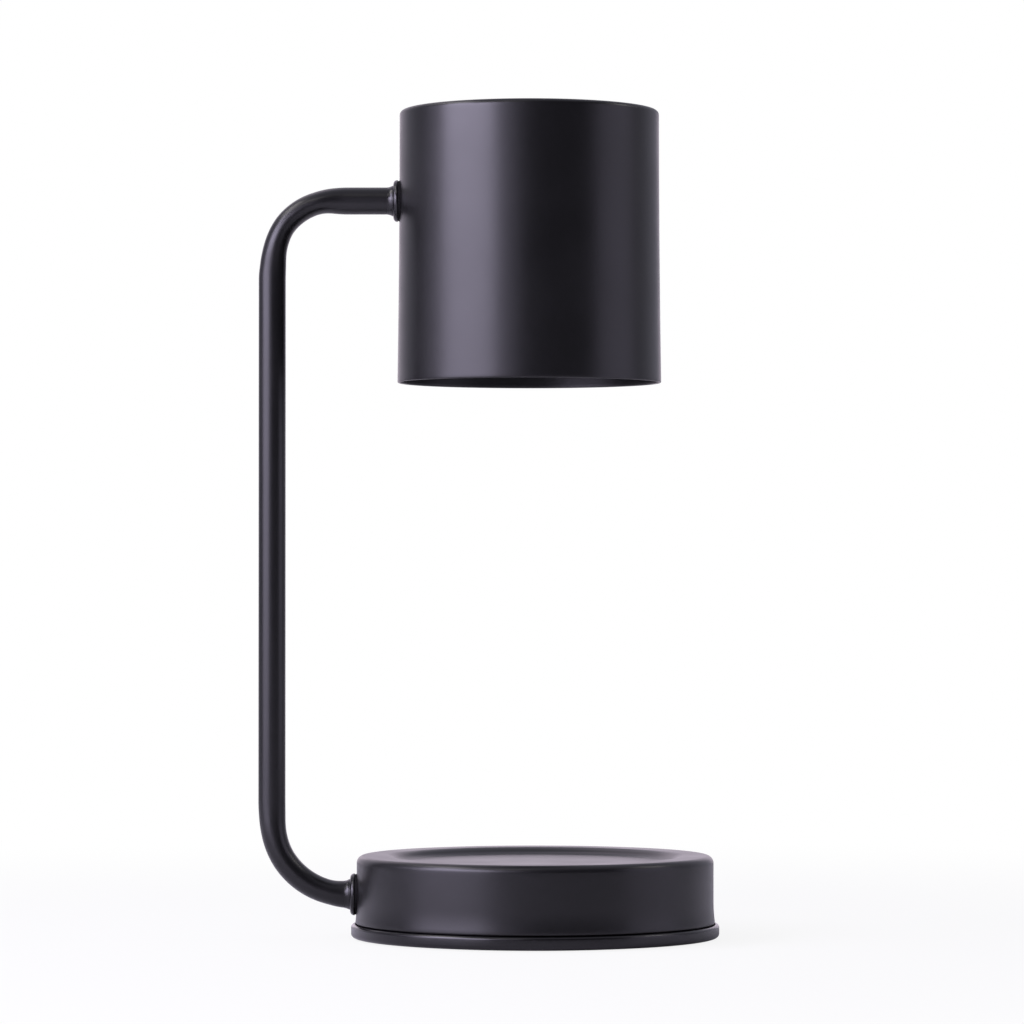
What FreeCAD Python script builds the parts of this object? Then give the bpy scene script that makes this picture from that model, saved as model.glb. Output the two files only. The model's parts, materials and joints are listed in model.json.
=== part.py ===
"""Candle warmer lamp: a weighted round base, a bent tube arm and a drum shade over a candle tray.

Millimetres, +Z up.  The origin is on the floor on the base's axis.  The arm stands on the -X side,
the front of the lamp faces -Y and the cord leaves the base at the back, on the +Y side.
Each function returns one piece, and main() writes one STEP file per piece.
"""

import FreeCAD, Part
import math
import os
from FreeCAD import Vector

# ---------------------------------------------------------------- driving dimensions
HEIGHT = 315.0          # floor to the top of the shade
BASE_R = 70.0           # rim of the base plate
ARM_R = 5.15            # lamp tube under its coat of paint
THREAD_R = 5.0          # its M10 ends
ARM_BORE_R = 4.0
ARM_X = -100.2          # vertical run of the arm
ARM_TOP_Z = 280.6       # upper run of the arm
ARM_FOOT_Z = 16.5       # lower run of the arm
SHADE_X = -2.2          # axis of the shade and the lamp bulb
SHADE_RIM_Z = 211.2     # lower edge of the shade
SHADE_TOP_R = 49.45     # radius under the shade's top fillet

# arm bends, each from the upright run to a level one
UPPER_BEND_R = 23.6
LOWER_BEND_R = 29.0
UPPER_FLATTENING = 0.85     # how far each side of the tube draws in on the tight bend
LOWER_FLATTENING = 0.5
BEND_WIDENING = 0.9         # how much of that comes back as width
BEND_ENTRY = 2.0            # the draw starts this far before the bend
OUTER_DRAW_END = 6.5        # and is full on the outer side this far round it
INNER_DRAW_END = 16.0       # and on the inner side here
BEND_EXIT = 8.0             # it starts to fade this far before the bend's end
UPPER_TAIL = 5.0            # and has gone this far past it
LOWER_TAIL = 0.0
BEND_STEP = 2.4             # between the sections of the loft

# base housing, a drawn steel cup
SHEET = 1.0
HOUSING_R = 67.85
HOUSING_FOOT_R = 68.35      # at the lower end of the flare
HOUSING_TOP_Z = 31.4
HOUSING_FILLET = 2.8
FLARE_Z = 14.0
CURL_Z = 6.9                # where the wall turns in to its narrower foot
CURL_R, CURL_BACK_R, CURL_ANGLE = 1.1, 0.3, 70.0
TRAY_LIP_R = 57.0
TRAY_R = 49.8
TRAY_Z = 28.85

# base plate, a shallow pressed dish with a recess underneath for the pad
PAD_PROUD = 0.4
PLATE_TOP_Z = 3.0
PLATE_LIP_Z = 5.4
PLATE_CORNER_R = 1.5
PLATE_LIP_R = 1.2           # outer radius of the lip's roll
PLATE_LIP_IN_R = 68.6
RECESS_R = 64.2
RECESS_STEP = 1.6
PAD_R = 64.0

# weight, posts and screws in the base
WEIGHT_R = 55.0
WEIGHT_TOP_Z = 11.5
WEIGHT_FLAT_X = -45.0
WEIGHT_SCREW_X = 25.0
POST_R = 2.9
POST_PITCH_R = 60.2
POST_ANGLES = (30.0, 150.0, 270.0)
WEIGHT_TAP_DEPTH = 10.0
POST_TAP_DEPTH = 11.0
M3_R = 1.5
M3_HOLE_R = 1.7         # clearance hole for an M3 screw
THREAD_GAP = 0.03       # radial play of a screw in its thread
SCREW_HEAD_R, SCREW_HEAD_T = 3.0, 1.3
SCREW_EDGE_T = 0.35     # height of the head's straight edge
SCREW_TIP = 0.4
CROSS_L, CROSS_W, CROSS_DEPTH = 2.6, 0.6, 0.8
PAD_HOLE_R = 3.4

# terminal block on the weight
BLOCK_X = -30.0
BLOCK_L, BLOCK_W, BLOCK_BODY_H, BLOCK_H = 16.0, 18.0, 8.0, 11.0
BLOCK_POLE_Y = 4.0
BLOCK_TUBE_R, BLOCK_TUBE_BORE_R = 2.2, 1.3
BLOCK_EDGE_R = 2.0
TURRET_R, TURRET_BORE_R = 2.6, 1.7
BLOCK_SCREW_R, BLOCK_SCREW_L = 1.2, 3.4
BLOCK_SCREW_DX = 4.0
BLOCK_SEAT_H, BLOCK_SCREW_HEAD_R = 6.5, 2.0
BLOCK_GAP = 2.0         # width of the groove between the block's two halves

# cord grommet at the back of the base
GROMMET_Z = 17.0
CORD_BORE_R = 3.3
GROMMET_NECK_R = 4.9
GROMMET_FLANGE_R = 7.0
GROMMET_OUT_Y, GROMMET_FACE_Y, GROMMET_BACK_Y, GROMMET_IN_Y = 70.5, 68.1, 66.35, 64.7

# collars, gaskets and nuts on the arm's ends
UPPER_COLLAR_X = -54.0
LOWER_COLLAR_X = -70.3
COLLAR_R, COLLAR_T, COLLAR_EDGE = 7.95, 1.7, 1.4
NECK_R, NECK_L, NECK_FILLET = 5.55, 1.7, 0.4
NECK_START_R, NECK_ROUND = 5.3, 0.9     # the rounding at the neck's outer end
GASKET_R = 7.7
NUT_ACROSS_FLATS, NUT_T = 14.0, 3.0
WASHER_R, WASHER_T, WASHER_TEETH, WASHER_NOTCH_R = 8.5, 0.8, 12, 1.0
TUBE_GAP = 0.05         # radial play of what sits on the arm tube
TUBE_HOLE_R = 5.15
UPPER_WASHER_X = -48.65
LOWER_WASHER_X = -66.25
TUBE_END_PAST_NUT = 1.1
BUSH_FLANGE_T, BUSH_SLEEVE_L, BUSH_BORE_R = 1.0, 6.0, 3.2

# leads through the arm
LEAD_R = 1.0
LEAD_Y = 1.6

# shade
SHADE_SHEET = 0.9
SHADE_FILLET = 1.8
SHADE_FLARE_R = 6500.0  # radius of the wall's slow outward curve, upright under the fillet

# lampholder and its bracket
BRACKET_Z = 291.0
BRACKET_T = 1.2
BRACKET_BEND_R = 2.4
BRACKET_OUT_R = 48.5
BRACKET_HALF_W = 8.5
BRACKET_FOOT_Z = 271.0
BRACKET_EYE_R = 13.5
HOLDER_R = 14.0
HOLDER_EDGE = 0.8
HOLDER_Z = 275.0
HOLDER_LIP = 3.0
HOLDER_POCKET = 6.5
HOLDER_SCREW_Y = 10.5
HOLDER_SCREW_PAST = 4.0     # the screw's length past the bracket
NUT_M3_FLATS, NUT_M3_T = 5.5, 2.4
CONTACT_GAP = 0.35      # from a contact leaf to the pin under it
CONTACT_T, CONTACT_W = 0.4, 3.0
WIRE_HOLE_R, WIRE_HOLE_Y, WIRE_HOLE_Z = 1.35, 3.2, 287.5
PIN_PITCH_R = 5.0
PIN_R, PIN_HEAD_R = 1.5, 2.5
PIN_NECK, PIN_HEAD = 3.7, 3.0
PIN_PLAY = 0.32
TWIST = 35.0            # degrees from the locked place to the entry holes

# reflector bulb
BULB_L = 46.5           # face to the top of its cap
BULB_TOP_Z = HOLDER_Z - 0.3
BULB_FACE_Z = BULB_TOP_Z - BULB_L
BULB_R = 25.0
REFLECTOR_WALL = 1.2
REFLECTOR_RIM_H = 3.0
REFLECTOR_NECK_Z, REFLECTOR_NECK_R, REFLECTOR_END = 29.0, 11.5, 33.0
LENS_T, LENS_DOME, LENS_LEDGE = 2.0, 0.7, 0.9
PARABOLA_SPANS = 6
CAP_SKIRT_R, CAP_R, CAP_EDGE = 13.0, 11.0, 1.0
CAP_SKIRT_H, CAP_SHOULDER_H = 6.5, 9.5
BURNER_R, BURNER_TIP_Z, BURNER_SHOULDER_Z = 4.5, 14.0, 26.0
BURNER_TAPER, BURNER_WAIST_R = 1.5, 2.4
PINCH_L, PINCH_T = 8.0, 3.0

Z_AXIS = Vector(0, 0, 1)
X_AXIS = Vector(1, 0, 0)
Y_AXIS = Vector(0, 1, 0)


# ---------------------------------------------------------------- helpers
def on(axis_x, shape):
    """Moves a piece drawn round the origin's Z axis to an axis at x."""
    shape.translate(Vector(axis_x, 0, 0))
    return shape


def cylinder(r, start, end):
    """A round rod from one point to another."""
    run = end - start
    return Part.makeCylinder(r, run.Length, start, run)


def outline(*steps):
    """A closed outline in the XZ plane.

    A step is a point (r, z), a pair of points (middle, end) for an arc, or a list of points for a curve.
    """
    edges = []
    first = here = Vector(steps[0][0], 0, steps[0][1])
    for step in steps[1:]:
        if isinstance(step, list):
            through = [here] + [Vector(r, 0, z) for r, z in step]
            curve = Part.BSplineCurve()
            curve.interpolate(Points=through)
            edges.append(curve.toShape())
            end = through[-1]
        elif isinstance(step[0], tuple):
            middle, end = (Vector(p[0], 0, p[1]) for p in step)
            edges.append(Part.Arc(here, middle, end).toShape())
        else:
            end = Vector(step[0], 0, step[1])
            edges.append(Part.makeLine(here, end))
        here = end
    if (here - first).Length > 1e-6:
        edges.append(Part.makeLine(here, first))
    return Part.Wire(edges)


def turned(*steps, angle=360):
    """A solid turned round the Z axis from an outline."""
    return Part.Face(outline(*steps)).revolve(Vector(0, 0, 0), Z_AXIS, angle)


def step_end(step):
    """The point where an outline's step ends."""
    return step[-1] if isinstance(step[0], tuple) else step


def sheet_between(outer, inner):
    """A turned sheet-metal piece between two like outlines, drawn the same way."""
    back = []
    for step, before in zip(reversed(inner), reversed(inner[:-1])):
        if isinstance(step, list):
            back.append(step[-2::-1] + [step_end(before)])
        elif isinstance(step[0], tuple):
            back.append((step[0], step_end(before)))
        else:
            back.append(step_end(before))
    return turned(*outer, step_end(inner[-1]), *back)


def arc_point(cx, cz, r, a):
    """The point at angle a, in degrees, on a circle of radius r round (cx, cz)."""
    return cx + r * math.cos(math.radians(a)), cz + r * math.sin(math.radians(a))


def arc(cx, cz, r, a0, a1):
    """An arc step round (cx, cz), from angle a0 to a1 in degrees: (middle, end)."""
    return arc_point(cx, cz, r, (a0 + a1) / 2), arc_point(cx, cz, r, a1)


def polar(r, degrees, z=0.0):
    """A point at a radius and an angle round the Z axis."""
    return Vector(r * math.cos(math.radians(degrees)), r * math.sin(math.radians(degrees)), z)


def hexagon(across_flats, thickness):
    """A hexagonal prism on the XY plane, chamfered at both ends as a nut is."""
    corner = across_flats / math.sqrt(3)
    points = [polar(corner, 60 * i) for i in range(7)]
    prism = Part.Face(Part.makePolygon(points)).extrude(Vector(0, 0, thickness))
    edge = corner - across_flats / 2
    rise = edge * math.tan(math.radians(30))
    bevel = turned((0, 0), (across_flats / 2, 0), (corner, rise), (corner, thickness - rise),
                   (across_flats / 2, thickness), (0, thickness))
    return prism.common(bevel)


def along_x(shape, x, z):
    """Turns a piece drawn along +Z to lie along +X, starting at (x, 0, z)."""
    shape.rotate(Vector(0, 0, 0), Y_AXIS, 90)
    shape.translate(Vector(x, 0, z))
    return shape


def group(shapes):
    """Separate like pieces in one compound."""
    return Part.makeCompound(shapes)


def wafer_screw(x, y, z, length):
    """A low-headed M3 screw, driven upwards; z is the underside of the sheet it holds."""
    r = M3_R
    crown = ((SCREW_HEAD_R * 0.88, -SCREW_HEAD_T * 0.8), (SCREW_HEAD_R, -SCREW_EDGE_T))
    screw = turned((0, -SCREW_HEAD_T), (SCREW_HEAD_R * 0.55, -SCREW_HEAD_T), crown, (SCREW_HEAD_R, 0), (r, 0),
                   (r, length - SCREW_TIP), (r - SCREW_TIP, length), (0, length))
    for l, w in ((CROSS_L, CROSS_W), (CROSS_W, CROSS_L)):
        screw = screw.cut(Part.makeBox(l, w, CROSS_DEPTH + 1, Vector(-l / 2, -w / 2, -SCREW_HEAD_T - 1)))
    screw.translate(Vector(x, y, z))
    return screw


def post_places():
    """Where the base's three posts stand."""
    return [polar(POST_PITCH_R, a) for a in POST_ANGLES]


def weight_screw_places():
    """Where the two screws hold the weight down."""
    return [Vector(WEIGHT_SCREW_X, y, 0) for y in (-WEIGHT_SCREW_X, WEIGHT_SCREW_X)]


# ---------------------------------------------------------------- base
def housing_side(t):
    """One face of the housing's sheet, t inside its outer face, from the foot to the tray's axis.

    The foot is narrower than the wall, so that a groove shows between the wall and the plate's lip.
    The wall turns in to it through two arcs, and flares a little above them.
    """
    foot = PAD_PROUD + SHEET
    curl = math.radians(CURL_ANGLE)
    both = CURL_R + CURL_BACK_R
    neck_r = HOUSING_FOOT_R - both * (1 - math.cos(curl))
    neck_z = CURL_Z - both * math.sin(curl)
    flare = [(HOUSING_R + (HOUSING_FOOT_R - HOUSING_R) * (1 - u) ** 2 - t, CURL_Z + (FLARE_Z - CURL_Z) * u)
             for u in (0.25, 0.5, 0.75, 1.0)]
    slope = (TRAY_LIP_R - TRAY_R, HOUSING_TOP_Z - TRAY_Z)
    bend = (slope[0] ** 2 + slope[1] ** 2) / (4 * slope[1])
    lean = math.degrees(math.asin(slope[0] / 2 / bend))
    shoulder_r = HOUSING_R - HOUSING_FILLET
    shoulder_z = HOUSING_TOP_Z - HOUSING_FILLET
    return [
        (neck_r - t, foot),
        (neck_r - t, neck_z),
        arc(neck_r + CURL_BACK_R, neck_z, CURL_BACK_R + t, 180, 180 - CURL_ANGLE),
        arc(HOUSING_FOOT_R - CURL_R, CURL_Z, CURL_R - t, -CURL_ANGLE, 0),
        flare,
        (HOUSING_R - t, shoulder_z),
        arc(shoulder_r, shoulder_z, HOUSING_FILLET - t, 0, 90),
        (TRAY_LIP_R, HOUSING_TOP_Z - t),
        arc(TRAY_LIP_R, HOUSING_TOP_Z - bend, bend - t, 90, 90 + lean),
        arc(TRAY_R, TRAY_Z + bend, bend + t, 270 + lean, 270),
        (0, TRAY_Z - t),
    ]


def base_housing():
    """The drawn cup: narrow foot, flared wall, rounded shoulder, flat ring and sunken candle tray."""
    sheet = sheet_between(housing_side(0), housing_side(SHEET))
    tube_hole = cylinder(TUBE_HOLE_R, Vector(-BASE_R, 0, ARM_FOOT_Z), Vector(-60, 0, ARM_FOOT_Z))
    cord_hole = cylinder(GROMMET_NECK_R + TUBE_GAP, Vector(0, 60, GROMMET_Z), Vector(0, BASE_R, GROMMET_Z))
    return sheet.cut(tube_hole).cut(cord_hole)


def base_plate():
    """The pressed dish that closes the base, its upturned lip rolled in towards the housing's foot."""
    bottom = PAD_PROUD
    recess_z = PLATE_TOP_Z - SHEET
    shift = SHEET * math.tan(math.radians(22.5))
    corner_r, corner_z = BASE_R - PLATE_CORNER_R, bottom + PLATE_CORNER_R
    roll_r, roll_z = BASE_R - PLATE_LIP_R, PLATE_LIP_Z - PLATE_LIP_R
    dish = turned(
        (0, recess_z), (RECESS_R, recess_z), (RECESS_R + RECESS_STEP, bottom), (corner_r, bottom),
        arc(corner_r, corner_z, PLATE_CORNER_R, -90, 0),
        (BASE_R, roll_z),
        arc(roll_r, roll_z, PLATE_LIP_R, 0, 90),
        (PLATE_LIP_IN_R, PLATE_LIP_Z), (PLATE_LIP_IN_R, PLATE_LIP_Z - SHEET), (roll_r, PLATE_LIP_Z - SHEET),
        arc(roll_r, roll_z, PLATE_LIP_R - SHEET, 90, 0),
        (BASE_R - SHEET, corner_z),
        arc(corner_r, corner_z, PLATE_CORNER_R - SHEET, 0, -90),
        (RECESS_R + RECESS_STEP + shift, bottom + SHEET), (RECESS_R + shift, PLATE_TOP_Z), (0, PLATE_TOP_Z))
    for place in post_places() + weight_screw_places():
        dish = dish.cut(cylinder(M3_HOLE_R, place, place + Z_AXIS * PLATE_LIP_Z))
    return dish


def foot_pad():
    """The soft pad under the base, with a hole for each screw."""
    edge = 0.25
    top = PLATE_TOP_Z - SHEET
    pad = turned((0, 0), (PAD_R - edge, 0), arc(PAD_R - edge, edge, edge, -90, 0), (PAD_R, top), (0, top))
    for place in post_places() + weight_screw_places():
        pad = pad.cut(cylinder(PAD_HOLE_R, place - Z_AXIS, place + Z_AXIS * PLATE_TOP_Z))
    return pad


def base_weight():
    """The cast iron disc, cut away by the arm and tapped for its screws and the terminal block."""
    chamfer = 1.0
    disc = turned((0, PLATE_TOP_Z), (WEIGHT_R, PLATE_TOP_Z), (WEIGHT_R, WEIGHT_TOP_Z - chamfer),
                  (WEIGHT_R - chamfer, WEIGHT_TOP_Z), (0, WEIGHT_TOP_Z))
    away = Vector(WEIGHT_FLAT_X - WEIGHT_R, -WEIGHT_R, 0)
    disc = disc.cut(Part.makeBox(WEIGHT_R, 2 * WEIGHT_R, 2 * WEIGHT_TOP_Z, away))
    tapped = M3_R + THREAD_GAP
    for place in weight_screw_places():
        disc = disc.cut(cylinder(tapped, place, place + Z_AXIS * WEIGHT_TAP_DEPTH))
    block = Vector(BLOCK_X, 0, WEIGHT_TOP_Z)
    return disc.cut(cylinder(tapped, Vector(BLOCK_X, 0, PLATE_TOP_Z + 1.5), block + Z_AXIS))


def base_post(place):
    """A tapped post from the plate up to the underside of the housing's flat ring."""
    top = HOUSING_TOP_Z - SHEET
    post = cylinder(POST_R, place + Z_AXIS * PLATE_TOP_Z, place + Z_AXIS * top)
    return post.cut(cylinder(M3_R + THREAD_GAP, place, place + Z_AXIS * (PLATE_TOP_Z + POST_TAP_DEPTH)))


def base_screws():
    """Three screws through the plate into the posts."""
    return group([wafer_screw(p.x, p.y, PLATE_TOP_Z - SHEET, 9.0) for p in post_places()])


def weight_screws():
    """Two screws through the plate into the weight."""
    return group([wafer_screw(p.x, p.y, PLATE_TOP_Z - SHEET, 7.0) for p in weight_screw_places()])


def block_screw_places():
    """The terminal block's four clamp screws, two to a pole."""
    return [Vector(BLOCK_X + dx, y, 0) for y in (-BLOCK_POLE_Y, BLOCK_POLE_Y)
            for dx in (-BLOCK_SCREW_DX, BLOCK_SCREW_DX)]


def terminal_block():
    """A two-pole block: a low body, a turret over each clamp screw and a bore through each pole."""
    base = Vector(BLOCK_X, 0, WEIGHT_TOP_Z)
    body = Part.makeBox(BLOCK_L, BLOCK_W, BLOCK_BODY_H, base - Vector(BLOCK_L / 2, BLOCK_W / 2, 0))
    long_edges = [e for e in body.Edges if abs(e.BoundBox.XLength - BLOCK_L) < 1e-6
                  and e.BoundBox.ZMin > WEIGHT_TOP_Z + 1]
    body = body.makeFillet(BLOCK_EDGE_R, long_edges)
    for place in block_screw_places():
        foot = place + Z_AXIS * ARM_FOOT_Z
        body = body.fuse(cylinder(TURRET_R, foot, place + Z_AXIS * (WEIGHT_TOP_Z + BLOCK_H)))
    for place in block_screw_places():
        top = place + Z_AXIS * (WEIGHT_TOP_Z + BLOCK_H + 1)
        body = body.cut(cylinder(TURRET_BORE_R, place + Z_AXIS * ARM_FOOT_Z, top))
    for y in (-BLOCK_POLE_Y, BLOCK_POLE_Y):
        ends = [Vector(BLOCK_X + s * (BLOCK_L / 2 + 1), y, ARM_FOOT_Z) for s in (-1, 1)]
        body = body.cut(cylinder(BLOCK_TUBE_R + THREAD_GAP, *ends))
    seat = base + Z_AXIS * BLOCK_SEAT_H
    groove = seat - Vector(BLOCK_GAP / 2, BLOCK_W / 2, 0)
    body = body.cut(Part.makeBox(BLOCK_GAP, BLOCK_W, BLOCK_BODY_H, groove))
    body = body.cut(cylinder(BLOCK_SCREW_HEAD_R + 0.2, seat, seat + Z_AXIS * BLOCK_H))
    return body.cut(cylinder(M3_HOLE_R, base - Z_AXIS, seat + Z_AXIS))


def terminal_tube(y):
    """A brass connector tube for one pole, tapped for its two clamp screws."""
    ends = [Vector(BLOCK_X + s * (BLOCK_L / 2 - 1.5), y, ARM_FOOT_Z) for s in (-1, 1)]
    tube = cylinder(BLOCK_TUBE_R, *ends)
    tube = tube.cut(cylinder(BLOCK_TUBE_BORE_R, ends[0] - X_AXIS, ends[1] + X_AXIS))
    for dx in (-BLOCK_SCREW_DX, BLOCK_SCREW_DX):
        place = Vector(BLOCK_X + dx, y, ARM_FOOT_Z)
        tube = tube.cut(cylinder(BLOCK_SCREW_R + THREAD_GAP, place, place + Z_AXIS * 4))
    return tube


def terminal_screws():
    """The four slotted clamp screws, standing on the leads."""
    slot_w, slot_depth = 0.5, 0.6
    tip = ARM_FOOT_Z + LEAD_R + 0.1
    head = tip + BLOCK_SCREW_L
    screws = []
    for place in block_screw_places():
        screw = cylinder(BLOCK_SCREW_R, place + Z_AXIS * tip, place + Z_AXIS * head)
        corner = place + Vector(-BLOCK_SCREW_R, -slot_w / 2, head - slot_depth)
        screws.append(screw.cut(Part.makeBox(2 * BLOCK_SCREW_R, slot_w, 2 * slot_depth, corner)))
    return group(screws)


def terminal_fixing_screw():
    """The screw that holds the terminal block to the weight."""
    length = 10.0
    screw = wafer_screw(0, 0, 0, length)
    screw.rotate(Vector(0, 0, 0), X_AXIS, 180)
    screw = screw.common(cylinder(BLOCK_SCREW_HEAD_R, Z_AXIS * -length, Z_AXIS * SCREW_HEAD_T))
    screw.translate(Vector(BLOCK_X, 0, WEIGHT_TOP_Z + BLOCK_SEAT_H))
    return screw


def cord_grommet():
    """The rubber bush in the housing's back wall: flange, neck in the hole and a tapered inner flange."""
    face, back = GROMMET_FACE_Y, GROMMET_BACK_Y
    edge = 1.0
    ring = turned(
        (CORD_BORE_R, GROMMET_IN_Y), (GROMMET_NECK_R + 0.5, GROMMET_IN_Y), (GROMMET_FLANGE_R - 0.5, back),
        (GROMMET_NECK_R, back), (GROMMET_NECK_R, face), (GROMMET_FLANGE_R, face),
        (GROMMET_FLANGE_R, GROMMET_OUT_Y - edge),
        arc(GROMMET_FLANGE_R - edge, GROMMET_OUT_Y - edge, edge, 0, 90),
        (CORD_BORE_R, GROMMET_OUT_Y))
    ring.rotate(Vector(0, 0, 0), X_AXIS, -90)
    ring.translate(Vector(0, 0, GROMMET_Z))
    return ring


# ---------------------------------------------------------------- arm
def smooth(x):
    """A step from 0 to 1 that starts and ends level."""
    x = min(max(x, 0.0), 1.0)
    return x * x * (3 - 2 * x)


def bent_run(start, way, bend_r, r, flattening, tail):
    """A quarter bend from an upright run to a level one, with a section that goes from round to flattened.

    start is where the bend leaves the upright run, and way is 1 upwards or -1 downwards.  A tube drawn
    round a former loses height across the bend and gains about as much in width.  The outer side draws
    in at once and the inner side more slowly, and both come back as the bend ends, so each section is
    an ellipse round a point between the two sides.  An ellipse has to keep its longer radius first, so
    at the round ends it is wider by a hair.
    """
    length = bend_r * math.pi / 2
    centre = start + X_AXIS * bend_r
    first, last = -BEND_ENTRY, length + tail
    spans = math.ceil((last - first) / BEND_STEP)
    sections = []
    for i in range(spans + 1):
        along = first + (last - first) * i / spans
        angle = min(max(along / bend_r, 0.0), math.pi / 2)
        out = Vector(-math.cos(angle), 0, way * math.sin(angle))
        ahead = Vector(math.sin(angle), 0, way * math.cos(angle))
        middle = centre + out * bend_r + ahead * (along - angle * bend_r)
        fade = flattening * (1 - smooth((along - length + BEND_EXIT) / (BEND_EXIT + tail)))
        outer = fade * smooth((along + BEND_ENTRY) / (OUTER_DRAW_END + BEND_ENTRY))
        inner = fade * smooth((along + BEND_ENTRY) / (INNER_DRAW_END + BEND_ENTRY))
        middle += out * ((inner - outer) / 2)
        squeeze = (inner + outer) / 2
        wide = r + max(BEND_WIDENING * squeeze, 1e-7)
        oval = Part.Ellipse(middle + Y_AXIS * wide, middle + out * (r - squeeze), middle)
        sections.append(Part.Wire([oval.toShape()]))
    return Part.makeLoft(sections, True, False)


def arm_ends():
    """The x of the tube's lower and upper ends, just past their nuts."""
    lower = LOWER_WASHER_X + WASHER_T + NUT_T + TUBE_END_PAST_NUT
    upper = UPPER_WASHER_X + WASHER_T + NUT_T + TUBE_END_PAST_NUT
    return lower, upper


def arm_core(r, end_r, past=0.0):
    """The solid inside radius r along the arm, and inside end_r past each collar's shoulder."""
    lower_end, upper_end = arm_ends()
    low = Vector(ARM_X, 0, ARM_FOOT_Z + LOWER_BEND_R)
    top = Vector(ARM_X, 0, ARM_TOP_Z - UPPER_BEND_R)
    foot_start = Vector(ARM_X + LOWER_BEND_R + LOWER_TAIL, 0, ARM_FOOT_Z)
    head_start = Vector(ARM_X + UPPER_BEND_R + UPPER_TAIL, 0, ARM_TOP_Z)
    foot, head = Vector(LOWER_COLLAR_X, 0, ARM_FOOT_Z), Vector(UPPER_COLLAR_X, 0, ARM_TOP_Z)
    upright = cylinder(r, low + Z_AXIS * BEND_ENTRY, top - Z_AXIS * BEND_ENTRY)
    return upright.fuse([
        bent_run(low, -1, LOWER_BEND_R, r, LOWER_FLATTENING, LOWER_TAIL),
        cylinder(r, foot_start, foot),
        cylinder(end_r, foot, Vector(lower_end + past, 0, ARM_FOOT_Z)),
        bent_run(top, 1, UPPER_BEND_R, r, UPPER_FLATTENING, UPPER_TAIL),
        cylinder(r, head_start, head),
        cylinder(end_r, head, Vector(upper_end + past, 0, ARM_TOP_Z))])


def arm_tube():
    """The bent steel tube, stepped down to its thread where each collar rests on it."""
    return arm_core(ARM_R, THREAD_R).cut(arm_core(ARM_BORE_R, ARM_BORE_R, past=1.0))


def collar(x, z):
    """A turned collar, its neck over the painted tube and its bore's step against the tube's shoulder.

    The neck's outer end is rounded over NECK_ROUND, with the radius of a circle that is level there.
    """
    counterbore, bore = ARM_R + TUBE_GAP, THREAD_R + TUBE_GAP
    rise = NECK_R - NECK_START_R
    round_r = (NECK_ROUND ** 2 + rise ** 2) / (2 * rise)
    lean = math.degrees(math.asin(NECK_ROUND / round_r))
    ring = turned(
        (counterbore, -NECK_L), (NECK_START_R, -NECK_L),
        arc(NECK_R - round_r, NECK_ROUND - NECK_L, round_r, -lean, 0),
        (NECK_R, -NECK_FILLET),
        arc(NECK_R + NECK_FILLET, -NECK_FILLET, NECK_FILLET, 180, 90),
        (COLLAR_R - COLLAR_EDGE, 0), arc(COLLAR_R - COLLAR_EDGE, COLLAR_EDGE, COLLAR_EDGE, -90, 0),
        (COLLAR_R, COLLAR_T), (bore, COLLAR_T), (bore, 0), (counterbore, 0))
    return along_x(ring, x, z)


def gasket(x, z, wall):
    """A rubber ring between a collar and a curved wall, cut to the wall's own curve."""
    bore = THREAD_R + TUBE_GAP
    ring = turned((bore, 0), (GASKET_R, 0), (GASKET_R, COLLAR_R), (bore, COLLAR_R))
    return along_x(ring, x + COLLAR_T, z).cut(wall)


def upper_gasket():
    """The gasket against the shade."""
    wall = on(SHADE_X, turned((0, SHADE_RIM_Z), *shade_side(0)))
    return gasket(UPPER_COLLAR_X, ARM_TOP_Z, wall)


def lower_gasket():
    """The gasket against the base housing."""
    wall = turned((0, PAD_PROUD + SHEET), *housing_side(0))
    return gasket(LOWER_COLLAR_X, ARM_FOOT_Z, wall)


def tooth_washer(x, z):
    """A lock washer with notches round its edge."""
    bore = THREAD_R + TUBE_GAP
    ring = turned((bore, 0), (WASHER_R, 0), (WASHER_R, WASHER_T), (bore, WASHER_T))
    for i in range(WASHER_TEETH):
        notch = polar(WASHER_R, i * 360 / WASHER_TEETH)
        ring = ring.cut(cylinder(WASHER_NOTCH_R, notch - Z_AXIS, notch + Z_AXIS * 2 * WASHER_T))
    return along_x(ring, x, z)


def locknut(x, z):
    """A thin hexagon nut on the tube's thread."""
    nut = hexagon(NUT_ACROSS_FLATS, NUT_T)
    nut = nut.cut(cylinder(THREAD_R + THREAD_GAP, Z_AXIS * -1, Z_AXIS * (NUT_T + 1)))
    return along_x(nut, x + WASHER_T, z)


def tube_bush(x, z):
    """The plastic bush that keeps the leads off the tube's cut end."""
    sleeve_r, flange_r, chamfer = ARM_BORE_R - TUBE_GAP, THREAD_R - 0.2, 0.3
    bush = turned(
        (BUSH_BORE_R, -BUSH_SLEEVE_L), (sleeve_r, -BUSH_SLEEVE_L), (sleeve_r, 0),
        (flange_r, 0), (flange_r, BUSH_FLANGE_T - chamfer), (flange_r - chamfer, BUSH_FLANGE_T),
        (BUSH_BORE_R, BUSH_FLANGE_T))
    return along_x(bush, x, z)


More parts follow.
